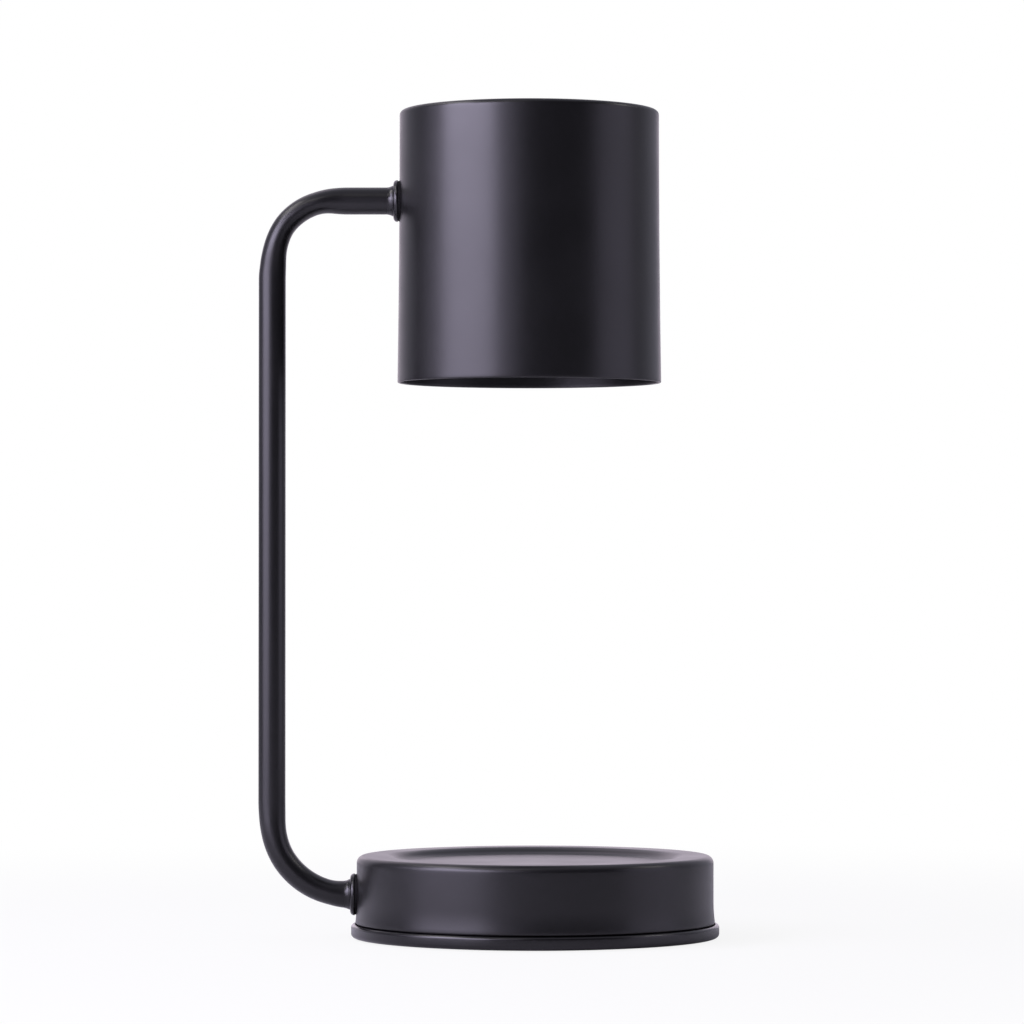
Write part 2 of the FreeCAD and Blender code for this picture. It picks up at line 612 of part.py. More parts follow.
def lead(side, holder_x):
    """One insulated lead, from the terminal block through the arm to the lampholder."""
    lower_end, upper_end = arm_ends()
    y = side * LEAD_Y
    clamp = Vector(BLOCK_X - BLOCK_SCREW_DX + 2.2, side * BLOCK_POLE_Y, ARM_FOOT_Z)
    block_mouth = Vector(BLOCK_X - BLOCK_L / 2, side * BLOCK_POLE_Y, ARM_FOOT_Z)
    low_mouth = Vector(lower_end + BUSH_FLANGE_T, y, ARM_FOOT_Z)
    low = Vector(ARM_X + LOWER_BEND_R, y, ARM_FOOT_Z)
    rise = Vector(ARM_X, y, ARM_FOOT_Z + LOWER_BEND_R)
    crest = Vector(ARM_X, y, ARM_TOP_Z - UPPER_BEND_R)
    top = Vector(ARM_X + UPPER_BEND_R, y, ARM_TOP_Z)
    top_mouth = Vector(upper_end + BUSH_FLANGE_T, y, ARM_TOP_Z)
    holder_mouth = Vector(SHADE_X - HOLDER_R - 1.5, side * WIRE_HOLE_Y, WIRE_HOLE_Z)
    holder_end = Vector(SHADE_X + holder_x, side * WIRE_HOLE_Y, WIRE_HOLE_Z)

    half = math.sqrt(0.5)
    low_mid = Vector(low.x - LOWER_BEND_R * half, y, rise.z - LOWER_BEND_R * half)
    top_mid = Vector(top.x - UPPER_BEND_R * half, y, crest.z + UPPER_BEND_R * half)
    route = Part.Wire([
        Part.makeLine(clamp, block_mouth),
        drape(block_mouth, low_mouth, X_AXIS * -1),
        Part.makeLine(low_mouth, low),
        Part.Arc(low, low_mid, rise).toShape(),
        Part.makeLine(rise, crest),
        Part.Arc(crest, top_mid, top).toShape(),
        Part.makeLine(top, top_mouth),
        drape(top_mouth, holder_mouth, X_AXIS),
        Part.makeLine(holder_mouth, holder_end)])
    section = Part.Wire([Part.Circle(clamp, X_AXIS, LEAD_R).toShape()])
    return route.makePipeShell([section], True, False)


def drape(start, end, heading):
    """A smooth curve that leaves and arrives in the same direction."""
    curve = Part.BSplineCurve()
    curve.interpolate(Points=[start, end], InitialTangent=heading, FinalTangent=heading)
    return curve.toShape()


# ---------------------------------------------------------------- shade
def shade_radius(z):
    """The radius of the shade's outer face at a height: straight at the top, slowly widening below."""
    drop = HEIGHT - SHADE_FILLET - z
    return SHADE_TOP_R + drop ** 2 / (2 * SHADE_FLARE_R)


def shade_side(t):
    """One face of the shade's sheet, t inside its outer face, from the rim to the axis."""
    rim, top = SHADE_RIM_Z + SHADE_SHEET / 2, HEIGHT - SHADE_FILLET
    heights = [rim + (top - rim) * u for u in (0.25, 0.5, 0.75, 1.0)]
    return [
        (shade_radius(rim) - t, rim),
        [(shade_radius(z) - t, z) for z in heights],
        arc(SHADE_TOP_R - SHADE_FILLET, top, SHADE_FILLET - t, 0, 90),
        (0, HEIGHT - t),
    ]


def shade():
    """The spun drum: closed top, small fillet, a wall that flares slowly and a rounded rim."""
    drum = sheet_between(shade_side(0), shade_side(SHADE_SHEET))
    edge = SHADE_SHEET / 2
    rim_r, rim_z = shade_radius(SHADE_RIM_Z + edge) - edge, SHADE_RIM_Z + edge
    drum = drum.fuse(turned((rim_r + edge, rim_z), arc(rim_r, rim_z, edge, 0, -180)))
    drum = on(SHADE_X, drum)
    wall_x = SHADE_X - shade_radius(ARM_TOP_Z)
    return drum.cut(cylinder(TUBE_HOLE_R, Vector(wall_x - 1, 0, ARM_TOP_Z), Vector(wall_x + 4, 0, ARM_TOP_Z)))


# ---------------------------------------------------------------- lampholder
def holder_bracket():
    """The bent steel strip: a saddle against the shade's wall and a shelf that carries the holder.

    A strip with a round eye at its end is cut from a shallow cup, so that the saddle has the wall's
    curve and the shelf leaves it in a bend.
    """
    shelf_top = BRACKET_Z + BRACKET_T
    bend_r, bend_z = BRACKET_OUT_R - BRACKET_BEND_R, shelf_top - BRACKET_BEND_R

    def side(t):
        """One face of the cup, t inside its outer face."""
        return [
            (BRACKET_OUT_R - t, BRACKET_FOOT_Z),
            (BRACKET_OUT_R - t, bend_z),
            arc(bend_r, bend_z, BRACKET_BEND_R - t, 0, 90),
            (0, shelf_top - t),
        ]

    cup = on(SHADE_X, sheet_between(side(0), side(BRACKET_T)))
    corner = Vector(SHADE_X - SHADE_TOP_R, -BRACKET_HALF_W, 0)
    strip = Part.makeBox(SHADE_TOP_R, 2 * BRACKET_HALF_W, HEIGHT, corner)
    eye = cylinder(BRACKET_EYE_R, Vector(SHADE_X, 0, 0), Vector(SHADE_X, 0, HEIGHT))
    bracket = cup.common(strip.fuse(eye))
    for y in (-HOLDER_SCREW_Y, HOLDER_SCREW_Y):
        hole = Vector(SHADE_X, y, BRACKET_Z - 1)
        bracket = bracket.cut(cylinder(M3_HOLE_R, hole, hole + Z_AXIS * 4))
    tube_hole = cylinder(TUBE_HOLE_R, Vector(corner.x, 0, ARM_TOP_Z), Vector(corner.x + 10, 0, ARM_TOP_Z))
    return bracket.cut(tube_hole)


def arc_slot(half_width, z0, z1):
    """A curved slot on the pin circle, from the locked place round to the entry hole."""
    track = turned((PIN_PITCH_R - half_width, z0), (PIN_PITCH_R + half_width, z0),
                   (PIN_PITCH_R + half_width, z1), (PIN_PITCH_R - half_width, z1), angle=TWIST)
    for angle in (0, TWIST):
        centre = polar(PIN_PITCH_R, angle)
        track = track.fuse(cylinder(half_width, centre + Z_AXIS * z0, centre + Z_AXIS * z1))
    return track


def lampholder():
    """The ceramic holder: two keyhole slots for the bulb's headed pins, pockets above them."""
    edge, top, below = HOLDER_EDGE, BRACKET_Z, HOLDER_Z - 1
    lip_top = HOLDER_Z + HOLDER_LIP
    body = turned((0, HOLDER_Z), (HOLDER_R - edge, HOLDER_Z), (HOLDER_R, HOLDER_Z + edge),
                  (HOLDER_R, top - edge), (HOLDER_R - edge, top), (0, top))
    neck_r, head_r = PIN_R + PIN_PLAY, PIN_HEAD_R + PIN_PLAY
    slot = arc_slot(neck_r, below, lip_top + 0.5).fuse(arc_slot(head_r, lip_top, lip_top + HOLDER_POCKET))
    entry = [polar(PIN_PITCH_R, TWIST, z) for z in (below, lip_top + 1)]
    slot = slot.fuse(cylinder(head_r, *entry))
    for turn in (0, 180):
        cutter = slot.copy()
        cutter.rotate(Vector(0, 0, 0), Z_AXIS, turn)
        body = body.cut(cutter)
    for y in (-HOLDER_SCREW_Y, HOLDER_SCREW_Y):
        body = body.cut(cylinder(M3_HOLE_R, Vector(0, y, below), Vector(0, y, top + 1)))
        body = body.cut(cylinder(SCREW_HEAD_R + 0.1, Vector(0, y, below), Vector(0, y, lip_top)))
    for side in (-1, 1):
        mouth = Vector(-HOLDER_R - 1, side * WIRE_HOLE_Y, WIRE_HOLE_Z)
        end = Vector(side * PIN_PITCH_R + WIRE_HOLE_R, mouth.y, WIRE_HOLE_Z)
        body = body.cut(cylinder(WIRE_HOLE_R, mouth, end))
    return on(SHADE_X, body)


def holder_contact(side):
    """A sprung leaf over one locked pin: a foot on the pocket's ceiling and a tongue bent down."""
    t = CONTACT_T
    top = HOLDER_Z + HOLDER_LIP + HOLDER_POCKET
    low = BULB_TOP_Z + PIN_NECK + PIN_HEAD + CONTACT_GAP
    left, right, fold = -1.6, 1.2, 0.5
    leaf = Part.Face(outline(
        (left, top), (left, top - t), (fold - 0.7, top - t), (left - 0.1, low),
        (right, low), (right, low + t), (left + 0.7, low + t), (fold, top)))
    leaf = leaf.extrude(Y_AXIS * CONTACT_W)
    leaf.translate(Vector(SHADE_X + side * PIN_PITCH_R, -CONTACT_W / 2, 0))
    return leaf


def holder_screws():
    """Two screws up through the holder and the bracket."""
    seat = HOLDER_Z + HOLDER_LIP
    length = BRACKET_Z + BRACKET_T + HOLDER_SCREW_PAST - seat
    return group([wafer_screw(SHADE_X, y, seat, length) for y in (-HOLDER_SCREW_Y, HOLDER_SCREW_Y)])


def holder_nuts():
    """The nuts of the holder's screws, on top of the bracket."""
    nuts = []
    for y in (-HOLDER_SCREW_Y, HOLDER_SCREW_Y):
        nut = hexagon(NUT_M3_FLATS, NUT_M3_T)
        nut = nut.cut(cylinder(M3_R + THREAD_GAP, Z_AXIS * -1, Z_AXIS * (NUT_M3_T + 1)))
        nut.translate(Vector(SHADE_X, y, BRACKET_Z + BRACKET_T))
        nuts.append(nut)
    return group(nuts)


# ---------------------------------------------------------------- bulb
def parabola(r0, z0, r1, z1):
    """A curve step along r*r = a + b*z from (r0, z0) to (r1, z1), in the bulb's own height."""
    slope = (r1 ** 2 - r0 ** 2) / (z1 - z0)
    heights = [z0 + (z1 - z0) * i / PARABOLA_SPANS for i in range(1, PARABOLA_SPANS + 1)]
    return [(math.sqrt(r0 ** 2 + slope * (z - z0)), z) for z in heights]


def bulb_reflector():
    """The glass reflector: a straight rim, a parabolic bowl and a neck for the cap."""
    wall = REFLECTOR_WALL
    rim_in, neck_in = BULB_R - wall, REFLECTOR_NECK_R - wall
    bowl_in = rim_in - LENS_LEDGE
    seat = LENS_T + 0.1
    bowl_z, neck_z, end_z = REFLECTOR_RIM_H, REFLECTOR_NECK_Z, REFLECTOR_END
    return at_bulb(turned(
        (BULB_R, bowl_z), (BULB_R, 0), (rim_in, 0), (rim_in, seat), (bowl_in, seat), (bowl_in, bowl_z),
        parabola(bowl_in, bowl_z, neck_in, neck_z),
        (neck_in, end_z), (REFLECTOR_NECK_R, end_z), (REFLECTOR_NECK_R, neck_z),
        parabola(REFLECTOR_NECK_R, neck_z, BULB_R, bowl_z)))


def at_bulb(shape):
    """Moves a piece from the bulb's own height, zero at its face, to its place in the shade."""
    shape.translate(Vector(SHADE_X, 0, BULB_FACE_Z))
    return shape


def bulb_lens():
    """The front glass, slightly domed, seated in the reflector's rim."""
    r = BULB_R - REFLECTOR_WALL - TUBE_GAP
    inset = 0.3
    front = ((r / 2, inset + LENS_DOME / 4), (r, inset + LENS_DOME))
    return at_bulb(turned((0, inset), front, (r, LENS_T), (0, LENS_T)))


def bulb_cap():
    """The ceramic cap: a skirt over the reflector's neck, a tapered body and a flat top."""
    edge, cement = CAP_EDGE, 0.1
    bore = REFLECTOR_NECK_R + cement
    foot, bore_top = REFLECTOR_NECK_Z + 0.6, REFLECTOR_END + cement
    return at_bulb(turned(
        (bore, foot), (CAP_SKIRT_R - edge, foot), arc(CAP_SKIRT_R - edge, foot + edge, edge, -90, 0),
        (CAP_SKIRT_R, foot + CAP_SKIRT_H), (CAP_R, foot + CAP_SHOULDER_H), (CAP_R, BULB_L - edge),
        arc(CAP_R - edge, BULB_L - edge, edge, 0, 90), (0, BULB_L), (0, bore_top), (bore, bore_top)))


def bulb_pin(side):
    """A headed contact pin standing on the cap."""
    head_z, chamfer = PIN_NECK + PIN_HEAD, 0.5
    pin = turned((0, 0), (PIN_R, 0), (PIN_R, PIN_NECK), (PIN_HEAD_R, PIN_NECK),
                 (PIN_HEAD_R, head_z - chamfer), (PIN_HEAD_R - chamfer, head_z), (0, head_z))
    pin.translate(Vector(SHADE_X + side * PIN_PITCH_R, 0, BULB_TOP_Z))
    return pin


def bulb_burner():
    """The capsule inside the reflector: a domed quartz body on a flat pinch."""
    r, tip, shoulder = BURNER_R, BURNER_TIP_Z, BURNER_SHOULDER_Z
    waist = shoulder + BURNER_TAPER
    capsule = turned((0, tip), arc(0, tip + r, r, -90, 0), (r, shoulder), (BURNER_WAIST_R, waist), (0, waist))
    corner = Vector(-PINCH_L / 2, -PINCH_T / 2, shoulder)
    pinch = Part.makeBox(PINCH_L, PINCH_T, REFLECTOR_END - shoulder, corner)
    return at_bulb(capsule.fuse(pinch))


# ---------------------------------------------------------------- the lamp
def pieces():
    """Every piece of the lamp by its name."""
    lower_end, upper_end = arm_ends()
    lamp = {
        "base_housing": base_housing(),
        "base_plate": base_plate(),
        "foot_pad": foot_pad(),
        "base_weight": base_weight(),
        "base_screws": base_screws(),
        "weight_screws": weight_screws(),
        "terminal_block": terminal_block(),
        "terminal_screws": terminal_screws(),
        "terminal_fixing_screw": terminal_fixing_screw(),
        "cord_grommet": cord_grommet(),
        "arm_tube": arm_tube(),
        "upper_collar": collar(UPPER_COLLAR_X, ARM_TOP_Z),
        "lower_collar": collar(LOWER_COLLAR_X, ARM_FOOT_Z),
        "upper_gasket": upper_gasket(),
        "lower_gasket": lower_gasket(),
        "upper_washer": tooth_washer(UPPER_WASHER_X, ARM_TOP_Z),
        "lower_washer": tooth_washer(LOWER_WASHER_X, ARM_FOOT_Z),
        "upper_locknut": locknut(UPPER_WASHER_X, ARM_TOP_Z),
        "lower_locknut": locknut(LOWER_WASHER_X, ARM_FOOT_Z),
        "upper_bush": tube_bush(upper_end, ARM_TOP_Z),
        "lower_bush": tube_bush(lower_end, ARM_FOOT_Z),
        "shade": shade(),
        "holder_bracket": holder_bracket(),
        "lampholder": lampholder(),
        "holder_screws": holder_screws(),
        "holder_nuts": holder_nuts(),
        "bulb_reflector": bulb_reflector(),
        "bulb_lens": bulb_lens(),
        "bulb_cap": bulb_cap(),
        "bulb_burner": bulb_burner(),
    }
    for i, place in enumerate(post_places(), 1):
        lamp[f"base_post_{i}"] = base_post(place)
    for i, side in enumerate((-1, 1), 1):
        lamp[f"terminal_tube_{i}"] = terminal_tube(side * BLOCK_POLE_Y)
        lamp[f"lead_{i}"] = lead(side, side * PIN_PITCH_R)
        lamp[f"holder_contact_{i}"] = holder_contact(side)
        lamp[f"bulb_pin_{i}"] = bulb_pin(side)
    return lamp


def main():
    """Writes each piece to its own STEP file."""
    os.makedirs("parts", exist_ok=True)
    for name, shape in pieces().items():
        shape.exportStep(f"parts/{name}.step")


main()
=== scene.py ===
"""Looks of the candle warmer lamp.

Satin black sheet metal on a bent tube arm, with a twist-lock reflector bulb up inside the shade.
Sizes are in millimetres, and the studio's in metres, in the frame's own axes: +Z up, the arm on the
-X side, the front at -Y. Each sub-assembly is a class that shapes its pieces and gives them their
finishes.
"""

import json
import logging
import math
from dataclasses import dataclass
from enum import Enum, IntEnum
from typing import Callable, Optional, Sequence

import bpy
import numpy as np
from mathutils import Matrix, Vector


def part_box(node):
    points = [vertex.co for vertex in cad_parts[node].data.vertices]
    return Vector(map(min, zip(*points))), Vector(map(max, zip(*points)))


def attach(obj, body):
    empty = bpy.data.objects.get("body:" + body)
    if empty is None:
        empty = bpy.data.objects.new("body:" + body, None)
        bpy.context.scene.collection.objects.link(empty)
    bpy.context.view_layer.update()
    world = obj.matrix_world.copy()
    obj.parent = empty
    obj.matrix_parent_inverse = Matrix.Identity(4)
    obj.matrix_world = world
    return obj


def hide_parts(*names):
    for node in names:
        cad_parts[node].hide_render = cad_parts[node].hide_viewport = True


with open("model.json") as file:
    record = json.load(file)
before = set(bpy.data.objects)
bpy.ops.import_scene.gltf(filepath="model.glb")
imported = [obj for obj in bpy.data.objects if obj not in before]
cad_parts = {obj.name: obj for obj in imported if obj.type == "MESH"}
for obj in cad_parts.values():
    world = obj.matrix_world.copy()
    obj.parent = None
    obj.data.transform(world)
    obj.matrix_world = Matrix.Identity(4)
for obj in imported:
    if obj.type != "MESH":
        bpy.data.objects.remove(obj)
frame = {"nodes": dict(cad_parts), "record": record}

log = logging.getLogger("candle_warmer_lamp")

Array = np.ndarray
Colour = tuple[float, float, float]
Span = tuple[float, float]
MM = 0.001
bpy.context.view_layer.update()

SAME_POINT = 1e-5   # neighbours on an outline that are nearer than this are one point
TINY = 1e-6         # a row that is shorter, or a volume that is smaller, counts as none


# ------------------------------------------------------------------ outlines and surfaces
class Axis(Enum):
    """The axis that a turned piece is turned about."""

    UP = "z"
    ACROSS = "x"
    BACK = "y"


def box_mm(node: str) -> tuple[Array, Array]:
    """The lowest and highest corners of a CAD node.

    Args:
        node: the node's name.

    Returns:
        Two arrays of three sizes in millimetres.
    """
    low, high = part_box(node)
    return np.array(low) / MM, np.array(high) / MM


def arc(centre: Sequence[float], radius: float, start: float, end: float, steps: int = 10) -> Array:
    """Points on a round stretch of an outline: centre + radius * (cos a, sin a).

    Args:
        centre: the arc's centre, (r, z).
        radius: its radius.
        start: the first angle a, in degrees.
        end: the last angle a, in degrees.
        steps: how many chords it has.

    Returns:
        An array of (r, z) points.
    """
    angle = np.radians(np.linspace(start, end, steps + 1))
    return np.column_stack((centre[0] + radius * np.cos(angle), centre[1] + radius * np.sin(angle)))


def line(start: Sequence[float], end: Sequence[float], longest: float = 1e9) -> Array:
    """Points on a straight stretch, evenly spaced and no further apart than a given length.

    Args:
        start: the first point, (r, z).
        end: the last point, (r, z).
        longest: the longest gap between neighbours.

    Returns:
        An array of (r, z) points.
    """
    run = np.subtract(end, start)
    steps = max(1, math.ceil(float(np.hypot(*run)) / longest))
    return np.asarray(start) + np.linspace(0, 1, steps + 1)[:, None] * run


def chain(*stretches: Sequence) -> Array:
    """Joins points and stretches in order into one outline, each point once.

    Args:
        stretches: single points or arrays of points, (r, z).

    Returns:
        An array of (r, z) points.
    """
    points = np.vstack([np.atleast_2d(np.asarray(s, dtype=float)) for s in stretches])
    gaps = np.linalg.norm(np.diff(points, axis=0), axis=1)
    return points[np.r_[True, gaps > SAME_POINT]]


def smooth_step(along: Array, first: float, last: float) -> Array:
    """Rises smoothly from 0 to 1 by 3 t^2 - 2 t^3, with t going from 0 at first to 1 at last.

    Args:
        along: where it is worked out.
        first: where it starts to rise.
        last: where it is 1.

    Returns:
        The values.
    """
    t = np.clip((along - first) / (last - first), 0, 1)
    return t * t * (3 - 2 * t)


def squares_to_circles(a: Array, b: Array, radius: float) -> tuple[Array, Array]:
    """Works out how the square rings of a grid are drawn out to circles round a point.

    A corner (a, b) is on the square ring that is the larger of |a| and |b|. It goes to reach * (a, b)
    with reach = radius * ring / |(a, b)|, so ring 1 becomes a circle of the given radius.

    Args:
        a: steps from the point across the grid, 1 on the first ring.
        b: steps from it up the grid.
        radius: the radius of the first circle.

    Returns:
        The ring of each corner and its reach.
    """
    ring = np.maximum(np.abs(a), np.abs(b))
    return ring, radius * ring / np.maximum(np.hypot(a, b), 1e-9)


@dataclass
class Skin:
    """A grid of points: rows along an outline or a path, columns round it.

    Attributes:
        points: the grid, rows by columns by three, in millimetres.
        closed_rows: whether the last row joins the first.
        cavity: whether it is the wall of a hollow, so that its faces point inwards.
        dropped: cells that are left open, rows by columns.
    """

    points: Array
    closed_rows: bool = False
    cavity: bool = False
    dropped: Optional[Array] = None

    def mesh_data(self) -> tuple[Array, list[list[int]]]:
        """Works out the mesh: a row that shrinks to a point becomes one corner with triangles round it.

        The faces point away from the solid: the sum over the faces of corner . area vector, taken from
        the middle of the piece, is the volume inside, and the faces are turned over where it is negative.
        A flat grid, with no volume, keeps the order of its rows: from the middle out it faces down.

        Returns:
            The corners in millimetres and the faces as lists of corner numbers.
        """
        rows, columns = self.points.shape[:2]
        index = np.arange(rows * columns).reshape(rows, columns)
        pole = np.ptp(self.points, axis=1).max(axis=1) < TINY
        index[pole] = index[pole, :1]
        if self.closed_rows:
            index = np.vstack((index, index[:1]))
        index = np.hstack((index, index[:, :1]))
        cells = np.stack((index[:-1, :-1], index[:-1, 1:], index[1:, 1:], index[1:, :-1]), axis=-1)
        if self.dropped is not None:
            cells = cells[~self.dropped]
        cells = cells.reshape(-1, 4)
        corners = self.points.reshape(-1, 3)
        middle = corners - corners[cells.ravel()].mean(axis=0)
        a, b, c, d = (middle[cells[:, k]] for k in range(4))
        volume = np.einsum("ij,ij->", a, np.cross(b, c) + np.cross(c, d))
        if (volume < -TINY) != self.cavity:
            cells = cells[:, ::-1]
        kept = [cells[:, k] != cells[:, (k + 1) % 4] for k in range(4)]
        used, flat = np.unique(cells, return_inverse=True)
        flat = flat.reshape(-1, 4)
        faces = [[int(v) for v, keep in zip(face, flags) if keep] for face, flags in zip(flat, zip(*kept))]
        return corners[used], faces


def turned(outline: Array, columns: int = 128, axis: Axis = Axis.UP, centre: Sequence[float] = (0, 0, 0),
           closed: bool = False) -> Skin:
    """Turns an outline about an axis: the point (r, h) at angle a goes to (r cos a, r sin a, h).

    Args:
        outline: the (r, h) points, r from the axis and h along it.
        columns: how many places round the axis.
        axis: the axis it is turned about.
        centre: where the axis passes and h is zero.
        closed: whether the outline is a loop.

    Returns:
        The turned grid.
    """
    angle = np.linspace(0, 2 * np.pi, columns, endpoint=False)
    r, h = outline[:, :1], np.repeat(outline[:, 1:], columns, axis=1)
    across, up = r * np.cos(angle), r * np.sin(angle)
    order = {Axis.UP: (across, up, h), Axis.ACROSS: (h, across, up), Axis.BACK: (up, h, across)}[axis]
    return Skin(np.stack(order, axis=-1) + np.asarray(centre, dtype=float), closed_rows=closed)


@dataclass(frozen=True)
class Hole:
    """A round hole through an upright turned wall.

    Attributes:
        angle: where it is round the wall, in degrees from +X, a multiple of 90.
        height: the height of its centre.
        radius: its radius.
    """

    angle: float
    height: float
    radius: float

    def pierce(self, skin: Skin, wall: Array, axis_x: float = 0.0) -> None:
        """Opens the hole by drawing the grid round it out to circles.

        The edge of the block of cells that is dropped, ring 1 of squares_to_circles, goes to the hole's
        edge. The rings from 1.75 on keep their place, and between them the two places are mixed in
        proportion.

        Args:
            skin: the turned grid, changed in place.
            wall: the stretch of its outline that the hole is in.
            axis_x: the x of the wall's axis.
        """
        grid = skin.points
        step = 2 * np.pi / grid.shape[1]
        off = np.hypot(grid[:, 0, 0] - axis_x - wall[0, 0], grid[:, 0, 2] - wall[0, 1])
        row = int(np.argmin(off)) + int(np.argmin(np.abs(wall[:, 1] - self.height)))
        column = round(math.radians(self.angle) / step)
        wall_r = float(wall[:, 0].mean())
        rise = float(np.diff(wall[:, 1]).mean())
        up, across = round(self.radius / abs(rise)), round(self.radius / (wall_r * step))
        still = 1.75
        i = np.arange(row - int(still * up), row + int(still * up) + 1)
        j = np.arange(column - int(still * across), column + int(still * across) + 1)
        b, a = np.meshgrid(np.sign(rise) * (i - row) / up, (j - column) / across, indexing="ij")
        ring, reach = squares_to_circles(a, b, self.radius)
        pull = np.clip((still - ring) / (still - 1), 0, 1)
        block = np.ix_(i, j)
        u = pull * reach * a + (1 - pull) * (j - column) * step * wall_r
        z = pull * (self.height + reach * b) + (1 - pull) * grid[block][..., 2]
        order = np.argsort(wall[:, 1])
        r = np.interp(z, wall[order, 1], wall[order, 0])
        angle = math.radians(self.angle) + u / wall_r
        grid[block] = np.stack((axis_x + r * np.cos(angle), r * np.sin(angle), z), axis=-1)
        if skin.dropped is None:
            skin.dropped = np.zeros((grid.shape[0] - 1, grid.shape[1]), dtype=bool)
        skin.dropped[row - up:row + up, column - across:column + across] = True


def put(name: str, *skins: Skin, wall: float = 0.0, soften: float = 0.0,
        crease: float = 30.0) -> bpy.types.Object:
    """Puts grids into one mesh object.

    Args:
        name: the object's name.
        skins: the grids.
        wall: a sheet thickness, grown inwards from the grids, or 0 for closed solids.
        soften: how far in the sheet's cut edges are rounded.
        crease: the angle in degrees past which an edge between faces is sharp.

    Returns:
        The object, at the origin and unturned.
    """
    corners, faces = [], []
    for skin in skins:
        points, cells = skin.mesh_data()
        start = sum(len(c) for c in corners)
        corners.append(points)
        faces += [[start + v for v in face] for face in cells]
    mesh = bpy.data.meshes.new(name)
    mesh.from_pydata((np.vstack(corners) * MM).tolist(), [], faces)
    piece = bpy.data.objects.new(name, mesh)
    bpy.context.scene.collection.objects.link(piece)
    if wall:
        sheet = piece.modifiers.new("sheet", "SOLIDIFY")
        sheet.thickness = wall * MM
        sheet.offset = -1.0
        sheet.use_even_offset = True
        if soften:
            edge = piece.modifiers.new("edge", "BEVEL")
            edge.width = soften * MM
            edge.segments = 4
            edge.limit_method = "ANGLE"
            edge.angle_limit = math.radians(60)
            edge.use_clamp_overlap = False
        solid = bpy.data.meshes.new_from_object(piece.evaluated_get(bpy.context.evaluated_depsgraph_get()))
        piece.modifiers.clear()
        piece.data = solid
        solid.name = name
    piece.data.polygons.foreach_set("use_smooth", np.ones(len(piece.data.polygons), dtype=bool))
    piece.data.set_sharp_from_angle(angle=math.radians(crease))
    return piece


# ------------------------------------------------------------------ finishes
class MixSocket(IntEnum):
    """Where a Mix node has its inputs."""

    FACTOR = 0
    FIRST = 2
    SECOND = 3
    FIRST_COLOUR = 6
    SECOND_COLOUR = 7


MIXED_VALUE, MIXED_COLOUR = 0, 2    # where it has its outputs


def carry(tree: bpy.types.NodeTree, source: bpy.types.NodeSocket, across: Span, onto: Span,
          smooth: bool = False) -> bpy.types.NodeSocket:
    """Carries one range of values onto another, and all beyond it to the range's ends.

    Args:
        tree: the node tree that it is added to.
        source: the value.
        across: the range that it is carried from.
        onto: what the two ends of that range become.
        smooth: whether it goes by the smooth step rather than in proportion.

    Returns:
        The new value's socket.
    """
    node = tree.nodes.new("ShaderNodeMapRange")
    if smooth:
        node.interpolation_type = "SMOOTHSTEP"
    for socket, value in zip(("From Min", "From Max", "To Min", "To Max"), (*across, *onto)):
        node.inputs[socket].default_value = value
    tree.links.new(source, node.inputs["Value"])
    return node.outputs["Result"]


